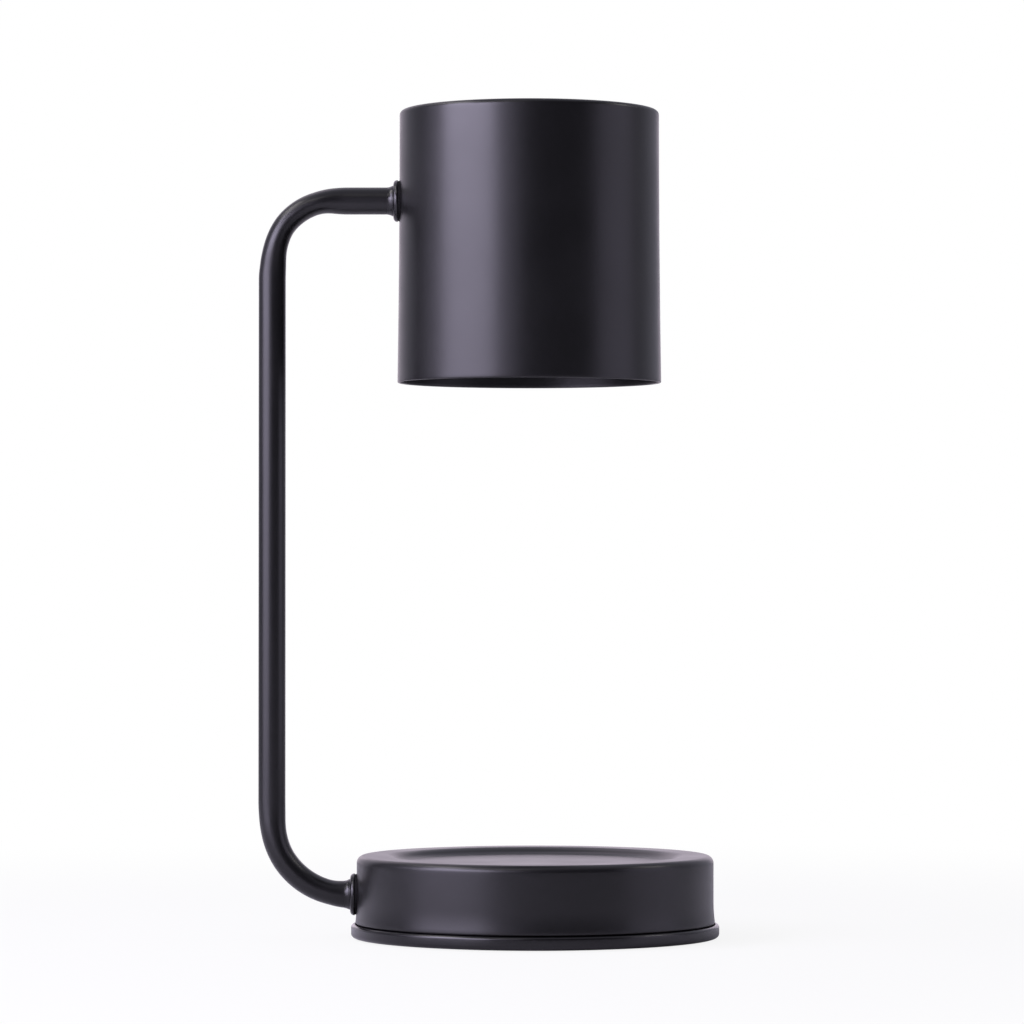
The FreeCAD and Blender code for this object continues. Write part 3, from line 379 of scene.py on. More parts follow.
class Recipe:
    """One material, built node by node on the piece's own Object coordinates."""

    def __init__(self, name: str, **settings: float | tuple) -> None:
        """Starts the material with its surface shader.

        Args:
            name: the material's name.
            settings: the shader's sockets, spaces written as underscores, and their values.
        """
        self.material = bpy.data.materials.new(name)
        self.material.use_nodes = True
        self.tree = self.material.node_tree
        self.tree.nodes.clear()
        self.surface = self.tree.nodes.new("ShaderNodeBsdfPrincipled")
        output = self.tree.nodes.new("ShaderNodeOutputMaterial")
        self.tree.links.new(self.surface.outputs["BSDF"], output.inputs["Surface"])
        self.coordinates = self.tree.nodes.new("ShaderNodeTexCoord").outputs["Object"]
        for socket, value in settings.items():
            self.surface.inputs[socket.replace("_", " ")].default_value = value

    def noise(self, size: float, detail: float = 2.0,
              stretch: Sequence[float] = (1, 1, 1)) -> bpy.types.NodeSocket:
        """Cloudy variation from 0 to 1.

        Args:
            size: the size of a cloud in millimetres.
            detail: how many finer layers it has.
            stretch: how many times finer it is along each axis.

        Returns:
            The noise's socket.
        """
        node = self.tree.nodes.new("ShaderNodeTexNoise")
        node.inputs["Scale"].default_value = 1 / (size * MM)
        node.inputs["Detail"].default_value = detail
        source = self.coordinates
        if tuple(stretch) != (1, 1, 1):
            mapping = self.tree.nodes.new("ShaderNodeMapping")
            mapping.inputs["Scale"].default_value = stretch
            self.tree.links.new(source, mapping.inputs["Vector"])
            source = mapping.outputs["Vector"]
        self.tree.links.new(source, node.inputs["Vector"])
        return node.outputs["Fac"]

    def cells(self, size: float) -> bpy.types.NodeSocket:
        """Distance to the nearest of scattered points, as in closed foam.

        Args:
            size: the size of a cell in millimetres.

        Returns:
            The pattern's socket.
        """
        node = self.tree.nodes.new("ShaderNodeTexVoronoi")
        node.inputs["Scale"].default_value = 1 / (size * MM)
        self.tree.links.new(self.coordinates, node.inputs["Vector"])
        return node.outputs["Distance"]

    def spread(self, source: bpy.types.NodeSocket, low: float, high: float) -> bpy.types.NodeSocket:
        """Carries the middle of a pattern, 0.3 to 0.7, onto a range of values.

        Args:
            source: the pattern.
            low: the value at 0.3 and below.
            high: the value at 0.7 and above.

        Returns:
            The value's socket.
        """
        return carry(self.tree, source, (0.3, 0.7), (low, high))

    def tint(self, source: bpy.types.NodeSocket, first: Colour, second: Colour) -> "Recipe":
        """Mixes two surface colours by a pattern.

        Args:
            source: the pattern.
            first: the colour where it is low.
            second: the colour where it is high.

        Returns:
            The recipe itself.
        """
        node = self.tree.nodes.new("ShaderNodeMix")
        node.data_type = "RGBA"
        node.inputs[MixSocket.FIRST_COLOUR].default_value = (*first, 1)
        node.inputs[MixSocket.SECOND_COLOUR].default_value = (*second, 1)
        self.tree.links.new(self.spread(source, 0, 1), node.inputs[MixSocket.FACTOR])
        self.tree.links.new(node.outputs[MIXED_COLOUR], self.surface.inputs["Base Color"])
        return self

    def rough(self, source: bpy.types.NodeSocket, low: float, high: float) -> "Recipe":
        """Varies the roughness between two values by a pattern.

        Args:
            source: the pattern.
            low: the roughness where it is low.
            high: the roughness where it is high.

        Returns:
            The recipe itself.
        """
        self.tree.links.new(self.spread(source, low, high), self.surface.inputs["Roughness"])
        return self

    def relief(self, source: bpy.types.NodeSocket, depth: float) -> "Recipe":
        """Raises the surface by a pattern; a second call adds to the first.

        Args:
            source: the pattern.
            depth: its height in millimetres.

        Returns:
            The recipe itself.
        """
        node = self.tree.nodes.new("ShaderNodeBump")
        node.inputs["Distance"].default_value = depth * MM
        self.tree.links.new(source, node.inputs["Height"])
        normal = self.surface.inputs["Normal"]
        if normal.links:
            self.tree.links.new(normal.links[0].from_socket, node.inputs["Normal"])
        self.tree.links.new(node.outputs["Normal"], normal)
        return self


@dataclass(frozen=True)
class Finish:
    """A finish, which knows how to make its material.

    Attributes:
        name: the material's name.
    """

    name: str

    def recipe(self) -> Recipe:
        """The finish's nodes."""
        return Recipe(self.name)

    def material(self) -> bpy.types.Material:
        """The finish's material, made once; its name isn't one of the record's slots."""
        return bpy.data.materials.get(self.name) or self.recipe().material


@dataclass(frozen=True)
class SatinPaint(Finish):
    """Sprayed satin paint on steel: slight clouds of colour and gloss, and a fine orange peel.

    Attributes:
        colour: the surface colour.
        gloss: the least and greatest roughness.
        paler: how much paler its clouds of colour are.
        clouds: the sizes of the clouds of colour and of gloss, in millimetres.
        peel: the size and the height of the orange peel.
        waves: the size and the height of the slow waves under it.
    """

    colour: Colour = (0.0010, 0.0008, 0.0012)
    gloss: Span = (0.30, 0.36)
    paler: float = 1.25
    clouds: Span = (9.0, 25.0)
    peel: Span = (0.9, 0.006)
    waves: Span = (6.0, 0.02)

    def recipe(self) -> Recipe:
        """Two noises move the colour and the roughness, and two lift the surface.

        Returns:
            The finish's nodes.
        """
        paler = tuple(self.paler * c for c in self.colour)
        paint = Recipe(self.name, IOR=1.5)
        paint.tint(paint.noise(self.clouds[0]), self.colour, paler)
        paint.rough(paint.noise(self.clouds[1], detail=4.0), *self.gloss)
        paint.relief(paint.noise(self.peel[0]), self.peel[1])
        return paint.relief(paint.noise(self.waves[0]), self.waves[1])


@dataclass(frozen=True)
class Metal(Finish):
    """Bare or plated metal with fine scuffs.

    Attributes:
        colour: the surface colour.
        gloss: the least and greatest roughness.
        duller: how much darker its clouds are.
        cloud: the size of the clouds in millimetres.
        scuff: the width of the scuffs that move the roughness.
        brush: the width and the height of the finer ones that lift the surface.
    """

    colour: Colour = (0.60, 0.60, 0.58)
    gloss: Span = (0.26, 0.42)
    duller: float = 0.85
    cloud: float = 4.0
    scuff: float = 1.2
    brush: Span = (0.4, 0.004)

    def recipe(self) -> Recipe:
        """A noise mixes the colours, and two that are flattened move the roughness and the surface.

        Returns:
            The finish's nodes.
        """
        duller = tuple(self.duller * c for c in self.colour)
        metal = Recipe(self.name, Metallic=1.0)
        metal.tint(metal.noise(self.cloud, detail=4.0), duller, self.colour)
        metal.rough(metal.noise(self.scuff, detail=5.0, stretch=(1, 1, 4)), *self.gloss)
        return metal.relief(metal.noise(self.brush[0], detail=3.0, stretch=(1, 1, 5)), self.brush[1])


@dataclass(frozen=True)
class Dull(Finish):
    """Rubber, foam, plastic, iron and ceramic: a colour with clouds and a grain.

    Attributes:
        colour: the surface colour.
        second: the colour of its clouds.
        gloss: the least and greatest roughness.
        grain: the size of its grain in millimetres.
        depth: the height of the grain in millimetres.
        foam: whether the grain is cells rather than noise.
        ior: its index of refraction.
        clouds: the sizes of the clouds of colour and of gloss, in grains.
    """

    colour: Colour
    second: Colour
    gloss: Span
    grain: float
    depth: float
    foam: bool = False
    ior: float = 1.5
    clouds: Span = (8, 3)

    def recipe(self) -> Recipe:
        """Two noises move the colour and the roughness, and the grain lifts the surface.

        Returns:
            The finish's nodes.
        """
        dull = Recipe(self.name, IOR=self.ior)
        dull.tint(dull.noise(self.clouds[0] * self.grain, detail=4.0), self.colour, self.second)
        dull.rough(dull.noise(self.clouds[1] * self.grain), *self.gloss)
        grain = dull.cells(self.grain) if self.foam else dull.noise(self.grain, detail=3.0)
        return dull.relief(grain, self.depth)


@dataclass(frozen=True)
class Glass(Finish):
    """Clear pressed glass with a faint ripple.

    Attributes:
        tone: its colour.
        gloss: the least and greatest roughness.
        cloud: the size of its clouds of gloss in millimetres.
        ripple: the size and the height of the ripple.
    """

    tone: Colour = (0.97, 0.98, 0.98)
    gloss: Span = (0.02, 0.05)
    cloud: float = 6.0
    ripple: Span = (5.0, 0.02)

    def recipe(self) -> Recipe:
        """A noise moves the roughness, and another without finer layers lifts the surface.

        Returns:
            The finish's nodes.
        """
        glass = Recipe(self.name, Base_Color=(*self.tone, 1), Transmission_Weight=1.0, IOR=1.5)
        glass.rough(glass.noise(self.cloud), *self.gloss)
        return glass.relief(glass.noise(self.ripple[0], detail=0.0), self.ripple[1])


class Finishes:
    """The lamp's finishes."""

    PAINT = SatinPaint("satin_black_paint")
    TRIM = SatinPaint("smooth_black_paint", gloss=(0.21, 0.27))
    PLATED = Metal("zinc_plated_steel")
    BRASS = Metal("bright_brass", colour=(0.72, 0.52, 0.22))
    NICKEL = Metal("nickel_plate", colour=(0.66, 0.62, 0.55), gloss=(0.18, 0.3))
    MIRROR = Metal("silvered_glass", colour=(0.86, 0.87, 0.90), gloss=(0.06, 0.12))
    TUNGSTEN = Metal("tungsten", colour=(0.30, 0.29, 0.29), gloss=(0.35, 0.5))
    RUBBER = Dull("moulded_rubber", (0.003, 0.003, 0.003), (0.005, 0.005, 0.005), (0.6, 0.8),
                  grain=0.4, depth=0.01, ior=1.25)
    FOAM = Dull("closed_cell_foam", (0.016, 0.016, 0.017), (0.028, 0.028, 0.029), (0.85, 0.95),
                grain=0.55, depth=0.12, foam=True)
    IRON = Dull("rough_iron", (0.05, 0.05, 0.052), (0.09, 0.085, 0.08), (0.5, 0.75),
                grain=1.1, depth=0.12)
    CERAMIC = Dull("unglazed_ceramic", (0.78, 0.75, 0.68), (0.84, 0.82, 0.76), (0.5, 0.65),
                   grain=0.7, depth=0.012)
    NYLON = Dull("moulded_nylon", (0.72, 0.71, 0.65), (0.78, 0.77, 0.72), (0.38, 0.5),
                 grain=0.8, depth=0.008)
    SLEEVE = Dull("silicone_sleeve", (0.62, 0.59, 0.52), (0.72, 0.70, 0.63), (0.45, 0.6),
                  grain=0.6, depth=0.02)
    GLASS = Glass("pressed_glass")


# ------------------------------------------------------------------ the sub-assemblies
BODY_OF = {node: body for body, nodes in frame["record"]["behaviour"]["bodies"].items() for node in nodes}


class Assembly:
    """What the sub-assemblies share: they place, dress and report their pieces."""

    def place(self, piece: bpy.types.Object, node: str, finish: Finish, stands_for: bool = True) -> None:
        """Gives a new piece its finish and sets it on the body of the CAD node it belongs to.

        Args:
            piece: the new piece.
            node: the CAD node it stands for or goes with.
            finish: its finish.
            stands_for: whether the CAD node is hidden for it.
        """
        piece.data.materials.clear()
        piece.data.materials.append(finish.material())
        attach(piece, BODY_OF[node])
        if stands_for:
            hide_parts(node)
        log.info("%s: %d faces in %s", piece.name, len(piece.data.polygons), finish.name)

    def dress(self, finish: Finish, *nodes: str) -> None:
        """Gives CAD nodes whose shape is right their finish.

        Args:
            finish: the finish.
            nodes: the nodes' names.
        """
        for node in nodes:
            piece = frame["nodes"][node]
            for slot in piece.material_slots:
                slot.material = finish.material()
            log.info("%s: CAD shape in %s", node, finish.name)


@dataclass
class WeightedBase(Assembly):
    """The round base: drawn housing, pressed plate, foam pad and what they close in.

    Attributes:
        sheet: thickness of the housing and the plate.
        shoulder: fillet between the housing's wall and its flat ring.
        wall_r: radius of the housing's wall above its flare.
        flare_r: its radius at the flare's lower end.
        flare_z: height at which the flare starts.
        curl_z: height at which the wall turns in to its narrower foot.
        curls: radii of the two arcs that take it there.
        curl_angle: how far each of them turns, in degrees.
        lip_r: inner radius of the flat ring.
        tray_r: radius of the candle tray's floor.
        tray_drop: depth of the tray below the ring.
        corner: outer radius of the plate's lower corner.
        roll: outer radius of its rolled lip.
        roll_in: how far the lip reaches in from the plate's rim.
        recess_r: radius of the plate's recess for the pad.
        recess_step: length and height of the recess's sloped edge.
        screws: the radius and the angle of each screw that the pad leaves room for.
        screw_hole: radius of the pad's holes for them.
        arm_hole: radius of the wall's hole for the arm.
        bush_hole: radius of its hole for the cord bush.
        bush_neck: radius of the bush in that hole.
        bush_bore: radius of the bush's bore.
        bush_flanges: thickness of its outer and its inner flange.
        bush_edge: radius of its outer flange's edge.
        bush_mouth: radius of the bore's rounded mouth.
        bush_taper: how far the inner flange narrows at its back.
    """

    sheet: float = 1.0
    shoulder: float = 2.8
    wall_r: float = 67.85
    flare_r: float = 68.35
    flare_z: float = 14.0
    curl_z: float = 6.3
    curls: Span = (1.1, 0.3)
    curl_angle: float = 70.0
    lip_r: float = 57.0
    tray_r: float = 49.8
    tray_drop: float = 2.55
    corner: float = 1.5
    roll: float = 1.2
    roll_in: float = 1.4
    recess_r: float = 64.2
    recess_step: float = 1.6
    screws: tuple[Span, ...] = ((60.2, 30), (60.2, 150), (60.2, 270), (35.36, 45), (35.36, 315))
    screw_hole: float = 3.4
    arm_hole: float = 5.15
    bush_hole: float = 4.95
    bush_neck: float = 4.9
    bush_bore: float = 3.3
    bush_flanges: Span = (2.4, 1.65)
    bush_edge: float = 1.2
    bush_mouth: float = 0.5
    bush_taper: float = 0.5

    @classmethod
    def radius_at(cls, z: Array) -> Array:
        """The housing's radius: upright above the flare, and below it wider by a square law.

        Args:
            z: heights in millimetres.

        Returns:
            The radii.
        """
        down = np.clip((cls.flare_z - z) / (cls.flare_z - cls.curl_z), 0, 1)
        return cls.wall_r + (cls.flare_r - cls.wall_r) * down ** 2

    def housing(self) -> bpy.types.Object:
        """Shapes the drawn cup.

        Its outline rises from the narrow foot, turns out and back up through two arcs, leans in along
        the flare, turns over the shoulder, crosses the flat ring and drops to the tray in two equal
        arcs, of radius (a^2 + b^2) / 4b for a slope a long and b deep.

        Returns:
            The housing's object.
        """
        low, high = box_mm("base_housing")
        top, shoulder_z = high[2], high[2] - self.shoulder
        out, back = self.curls
        turn = math.radians(self.curl_angle)
        neck_r = self.flare_r - (out + back) * (1 - math.cos(turn))
        neck_z = self.curl_z - (out + back) * math.sin(turn)
        heights = np.linspace(self.curl_z, shoulder_z, 18)
        wall = np.column_stack((self.radius_at(heights), heights))
        run, drop = self.lip_r - self.tray_r, self.tray_drop
        bend = (run ** 2 + drop ** 2) / (4 * drop)
        lean = math.degrees(math.asin(run / 2 / bend))
        outline = chain(
            line((neck_r, low[2]), (neck_r, neck_z), 1.5),
            arc((neck_r + back, neck_z), back, 180, 180 - self.curl_angle, 4),
            arc((self.flare_r - out, self.curl_z), out, -self.curl_angle, 0, 8), wall,
            arc((self.wall_r - self.shoulder, shoulder_z), self.shoulder, 0, 90, 14),
            line((self.wall_r - self.shoulder, top), (self.lip_r, top), 2.0),
            arc((self.lip_r, top - bend), bend, 90, 90 + lean, 10),
            arc((self.tray_r, top - drop + bend), bend, 270 + lean, 270, 10),
            line((self.tray_r, top - drop), (0, top - drop), 4.0))
        skin = turned(outline, 336)
        nut_low, nut_high = box_mm("lower_locknut")
        bush_low, bush_high = box_mm("cord_grommet")
        Hole(180, (nut_low[2] + nut_high[2]) / 2, self.arm_hole).pierce(skin, wall)
        Hole(90, (bush_low[2] + bush_high[2]) / 2, self.bush_hole).pierce(skin, wall)
        return put("drawn_housing", skin, wall=self.sheet)

    def plate(self) -> bpy.types.Object:
        """Shapes the pressed dish: recess, sloped edge, channel, rounded corner and a lip rolled inwards.

        The edge slopes at 45 degrees, so the corners of its two faces are t tan(22.5) apart along it.

        Returns:
            The plate's object.
        """
        low, high = box_mm("base_plate")
        rim_r, bottom, top, t = (high[0] - low[0]) / 2, low[2], high[2], self.sheet
        recess_z, edge_r = bottom + self.recess_step, self.recess_r + self.recess_step
        shift = t * math.tan(math.radians(22.5))
        corner_r, corner_z = rim_r - self.corner, bottom + self.corner
        roll_r, roll_z, end_r = rim_r - self.roll, top - self.roll, rim_r - self.roll_in
        outline = chain(
            line((0, recess_z), (self.recess_r, recess_z), 6.0), (edge_r, bottom), (corner_r, bottom),
            arc((corner_r, corner_z), self.corner, -90, 0, 10),
            arc((roll_r, roll_z), self.roll, 0, 90, 12), (end_r, top), (end_r, top - t), (roll_r, top - t),
            arc((roll_r, roll_z), self.roll - t, 90, 0, 5),
            arc((corner_r, corner_z), self.corner - t, 0, -90, 6),
            (edge_r + shift, bottom + t), (self.recess_r + shift, recess_z + t),
            line((self.recess_r + shift, recess_z + t), (0, recess_z + t), 6.0))
        return put("pressed_plate", turned(outline, 320))

    def pad(self) -> bpy.types.Object:
        """Shapes the foam pad: a die-cut disc with a hole under each screw.

        The grid on its face has a column for each degree, and circles 1 mm apart from 12 mm out. Round
        a screw the third square ring of its corners goes to the hole's edge by squares_to_circles, the
        rings from the sixth on keep their place, and between them the two places are mixed in proportion.

        Returns:
            The pad's object.
        """
        low, high = box_mm("foot_pad")
        radius, columns, first, rows = (high[0] - low[0]) / 2, 360, 12.0, 3
        circles = np.append(0, np.arange(first, round(radius) + 1))
        face = np.column_stack((circles * radius / circles[-1], np.full(len(circles), low[2])))
        skin = turned(face, columns)
        skin.dropped = np.zeros((len(circles) - 1, columns), dtype=bool)
        for away, degrees in self.screws:
            row, column = int(np.argmin(np.abs(circles - away))), round(degrees)
            block = round(rows / (away * math.radians(1)))
            i = np.arange(row - 2 * rows, min(row + 2 * rows + 1, len(circles) - 1))
            j = np.arange(column - 2 * block, column + 2 * block + 1)
            b, a = np.meshgrid((i - row) / rows, (j - column) / block, indexing="ij")
            ring, reach = squares_to_circles(a, b, self.screw_hole)
            outward = np.array([math.cos(math.radians(degrees)), math.sin(math.radians(degrees)), 0])
            along = np.array([-outward[1], outward[0], 0])
            circle = outward * (away + reach * b)[..., None] + along * (reach * a)[..., None]
            circle[..., 2] = low[2]
            pull = np.clip(2 - ring, 0, 1)[..., None]
            where = np.ix_(i, j % columns)
            skin.points[where] = pull * circle + (1 - pull) * skin.points[where]
            skin.dropped[np.ix_(np.arange(row - rows, row + rows),
                                np.arange(column - block, column + block) % columns)] = True
        return put("foam_pad", skin, wall=high[2] - low[2])

    def grommet(self) -> bpy.types.Object:
        """Shapes the rubber bush at the back: a domed flange, a neck and a tapered inner flange.

        Returns:
            The bush's object.
        """
        low, high = box_mm("cord_grommet")
        flange, neck, bore = (high[2] - low[2]) / 2, self.bush_neck, self.bush_bore
        outer, back, edge, mouth = high[1], low[1], self.bush_edge, self.bush_mouth
        seat, inner = outer - self.bush_flanges[0], back + self.bush_flanges[1]
        outline = chain(
            (bore, back), (neck + self.bush_taper, back), (flange - self.bush_taper, inner), (neck, inner),
            (neck, seat), (flange, seat), (flange, outer - edge),
            arc((flange - edge, outer - edge), edge, 0, 90, 10),
            (bore + mouth, outer), arc((bore + mouth, outer - mouth), mouth, 90, 180, 6))
        middle = (low[2] + high[2]) / 2
        return put("cord_bush", turned(outline, 96, Axis.BACK, (0, 0, middle), closed=True))

    def build(self) -> None:
        """Shapes and dresses the whole base."""
        self.place(self.housing(), "base_housing", Finishes.PAINT)
        self.place(self.plate(), "base_plate", Finishes.TRIM)
        self.place(self.pad(), "foot_pad", Finishes.FOAM)
        self.place(self.grommet(), "cord_grommet", Finishes.RUBBER)
        self.dress(Finishes.IRON, "base_weight")
        self.dress(Finishes.PLATED, "base_screws", "weight_screws", "base_post_1", "base_post_2",
                   "base_post_3", "terminal_screws", "terminal_fixing_screw")
        self.dress(Finishes.NYLON, "terminal_block")
        self.dress(Finishes.BRASS, "terminal_tube_1", "terminal_tube_2")


@dataclass(frozen=True)
class Bend:
    """A bend of the tube, walked from the upright run to a level one.

    Attributes:
        radius: the centre line's radius.
        way: 1 for a bend above the upright run and -1 for one below it.
        flat: how far each side of the tube draws in.
        ease: how far the whole tube swings in where the bend starts.
        tail: how far past the bend the tube is round again.
        entry: how far before the bend the swing starts.
        outer: where the outer side starts to draw in and where it has, from the bend's start.
        inner: the same for the inner side.
        swing: where the swing is whole, where it starts to go and where it is gone.
        leave: how far before the bend's end the tube starts to be round again.
    """

    radius: float
    way: int
    flat: float
    ease: float
    tail: float = 0.0
    entry: float = 7.0
    outer: Span = (-6.0, 6.5)
    inner: Span = (-2.0, 16.0)
    swing: tuple[float, float, float] = (4.0, 8.0, 18.0)
    leave: float = 8.0

    def walk(self, start: Sequence[float]) -> Array:
        """Walks round the bend, about a row to the millimetre.

        The outer side draws in over the first millimetres and the inner side over a longer way, and
        both come back before the bend ends. From just before the bend to some way into it the whole
        tube is also swung in. Each goes by the smooth step.

        Args:
            start: x and z of the upright run's end.

        Returns:
            Rows of x, z, the outward direction (x and z), the outer draw and the inner draw.
        """
        length = self.radius * math.pi / 2
        along = np.linspace(-self.entry, length + self.tail, int(length + self.tail + self.entry) + 1)
        angle = np.clip(along / self.radius, 0, math.pi / 2)
        past = along - angle * self.radius
        out = np.column_stack((-np.cos(angle), self.way * np.sin(angle)))
        ahead = np.column_stack((np.sin(angle), self.way * np.cos(angle)))
        place = np.array([start[0] + self.radius, start[1]]) + out * self.radius + ahead * past[:, None]
        fade = self.flat * (1 - smooth_step(along, length - self.leave, length + self.tail))
        whole, going, gone = self.swing
        swing = self.ease * smooth_step(along, -self.entry, whole) * (1 - smooth_step(along, going, gone))
        outer = fade * smooth_step(along, *self.outer) + swing
        inner = fade * smooth_step(along, *self.inner) - swing
        return np.column_stack((place, out, outer, inner))


@dataclass
class BentArm(Assembly):
    """The tube arm with the collars, gaskets and nuts at its two ends.

    Attributes:
        radius: the painted tube's outer radius.
        end_r: the radius of its threaded ends, past the collars' faces.
        bore: its inner radius.
        upper: the upper bend.
        lower: the lower bend.
        widen: how much of what a bend's sides draw in goes into the tube's width.
        upright_rows: how many places along the upright run.
        past_nut: how far the lower end stands out past its nut.
        thread: length of the thread on each end.
        pitch: the thread's pitch.
        thread_depth: how deep it is cut.
        run_out: the share of its length over which it runs out.
        step: where the tube grows to its full radius, behind and before a collar's face.
        columns: how many places round the tube.
        collar_t: thickness of the collars' flanges.
        collar_lead: how far out a collar's neck starts.
        collar_lip: how far behind that its bore starts.
        collar_throat: radius of the neck where its flare would be level.
        collar_flare: radius of its flare.
        collar_slopes: the flare's first and last slope in degrees.
        collar_fillet: radius between neck and flange.
        collar_edge: radius of the flange's edge.
        collar_corner: radius of its back corner.
        play: how much wider a collar is than the tube in it, and than the thread.
        gasket_edge: radius of a gasket's front edge.
        gasket_t: thickness of its rim, at most.
    """

    radius: float = 5.15
    end_r: float = 5.0
    bore: float = 4.0
    upper: Bend = Bend(23.6, 1, 0.85, 0.24, tail=5.0)
    lower: Bend = Bend(29.0, -1, 0.5, 0.1)
    widen: float = 0.9
    upright_rows: int = 80
    past_nut: float = 1.1
    thread: float = 6.0
    pitch: float = 1.0
    thread_depth: float = 0.55
    run_out: float = 0.15
    step: Span = (0.01, 0.14)
    columns: int = 96
    collar_t: float = 1.7
    collar_lead: float = 0.6
    collar_lip: float = 0.08
    collar_throat: float = 5.2
    collar_flare: float = 3.6
    collar_slopes: Span = (3, 33)
    collar_fillet: float = 0.35
    collar_edge: float = 1.4
    collar_corner: float = 0.15
    play: Span = (0.02, 0.05)
    gasket_edge: float = 0.3
    gasket_t: float = 0.8

    def threaded_end(self, x_end: float, face: float, z: float, out_z: int) -> Array:
        """Walks from a threaded end of the tube to the step where the collar rests.

        The thread has ten rows to the millimetre.

        Args:
            x_end: x of the end.
            face: x of the collar's face.
            z: the tube's height there.
            out_z: 1 where up is out of the bend and -1 where down is.

        Returns:
            Rows as in stations.
        """
        fine = np.linspace(0, self.thread, int(self.thread * 10) + 1)
        depth = np.minimum(1, (self.thread - fine) / (self.run_out * self.thread)) * self.thread_depth
        xs = np.concatenate((x_end - fine, [face + self.step[0], face - self.step[1]]))
        radius = np.append(np.full(len(xs) - 1, self.end_r), self.radius)
        rest = np.zeros(len(xs))
        return np.column_stack((xs, rest + z, rest, rest + out_z, rest, rest, radius,
                                np.append(depth, [0, 0])))

    def painted(self, rows: Array) -> Array:
        """Adds the painted tube's radius and no thread to rows that have neither.

        Args:
            rows: the first six columns of stations.

        Returns:
            All eight columns.
        """
        return np.column_stack((rows, np.full(len(rows), self.radius), np.zeros(len(rows))))

    def stations(self) -> Array:
        """Walks along the tube's centre line, from its end in the base to its end in the shade.

        Returns:
            Rows of x, z, the direction pointing out of the bends (x and z), how far the outer and the
            inner side are drawn in, the tube's radius, and how deep the thread is cut there.
        """
        low, high = box_mm("arm_tube")
        x, foot_z, top_z = low[0] + self.radius, low[2] + self.radius, high[2] - self.radius
        ends = box_mm("lower_locknut")[1][0] + self.past_nut, high[0]
        faces = [box_mm(node)[1][0] - self.collar_t for node in ("lower_collar", "upper_collar")]
        low_z, crest_z, rows = foot_z + self.lower.radius, top_z - self.upper.radius, self.upright_rows
        climb = np.linspace(low_z + self.lower.entry + 1, crest_z - self.upper.entry - 1, rows)
        upright = np.column_stack((np.full(rows, x), climb, np.full(rows, -1), np.zeros((rows, 3))))
        return np.vstack((
            self.threaded_end(ends[0], faces[0], foot_z, -1),
            self.painted(self.lower.walk((x, low_z)))[::-1],
            self.painted(upright),
            self.painted(self.upper.walk((x, crest_z))),
            self.threaded_end(ends[1], faces[1], top_z, 1)[::-1]))

    def tube(self) -> bpy.types.Object:
        """Shapes the tube.

        At angle p round a station the point is centre + out * ((i - o) / 2 + (r - f) cos p)
        + y * (r + widen * f) sin p, with o and i the outer and the inner draw and f their mean. On the
        ends r loses depth * |2 frac(s / pitch - p / 2 pi) - 1|, a thread.

        Returns:
            The tube's object.
        """
        walk = self.stations()
        angle = np.linspace(0, 2 * np.pi, self.columns, endpoint=False)
        along = np.r_[0, np.cumsum(np.hypot(*np.diff(walk[:, :2], axis=0).T))][:, None]
        ridge = np.abs(2 * np.mod(along / self.pitch - angle / (2 * np.pi), 1) - 1)
        x, z, out_x, out_z, outer_draw, inner_draw, radius, depth = (walk[:, k:k + 1] for k in range(8))
        shift, flat = (inner_draw - outer_draw) / 2, (inner_draw + outer_draw) / 2
        shells = []
        for r in (radius - depth * ridge, np.full((len(walk), self.columns), self.bore)):
            reach, width = shift + (r - flat) * np.cos(angle), (r + self.widen * flat) * np.sin(angle)
            shells.append(np.stack((x + out_x * reach, width, z + out_z * reach), axis=-1))
        skin = Skin(np.concatenate((shells[0], shells[1][::-1])), closed_rows=True)
        return put("bent_tube", skin, crease=35)

    def collar(self, name: str, node: str) -> bpy.types.Object:
        """Shapes a turned collar: a flared neck, a small fillet, a rounded edge and a flat back.

        At slope t the neck's flare is at (throat + flare (1 - cos t), x0 + flare sin t).

        Args:
            name: the piece's name.
            node: the CAD collar.

        Returns:
            The collar's object.
        """
        low, high = box_mm(node)
        face, back, start = high[0] - self.collar_t, high[0], low[0] - self.collar_lead
        edge_r, middle_z = (high[2] - low[2]) / 2, (low[2] + high[2]) / 2
        fillet, edge, corner = self.collar_fillet, self.collar_edge, self.collar_corner
        counterbore, bore = self.radius + self.play[0], self.end_r + self.play[1]
        flare, (first, last) = self.collar_flare, self.collar_slopes
        middle = (self.collar_throat + flare, start - flare * math.sin(math.radians(first)))
        neck = arc(middle, flare, 180 - first, 180 - last, 10)
        outline = chain(
            (counterbore, start + self.collar_lip), neck, (neck[-1, 0], face - fillet),
            arc((neck[-1, 0] + fillet, face - fillet), fillet, 180, 90, 6),
            (edge_r - edge, face), arc((edge_r - edge, face + edge), edge, -90, 0, 14),
            arc((edge_r - corner, back - corner), corner, 0, 90, 4), (bore, back), (bore, face),
            (counterbore, face))
        return put(name, turned(outline, 128, Axis.ACROSS, (0, 0, middle_z), closed=True))

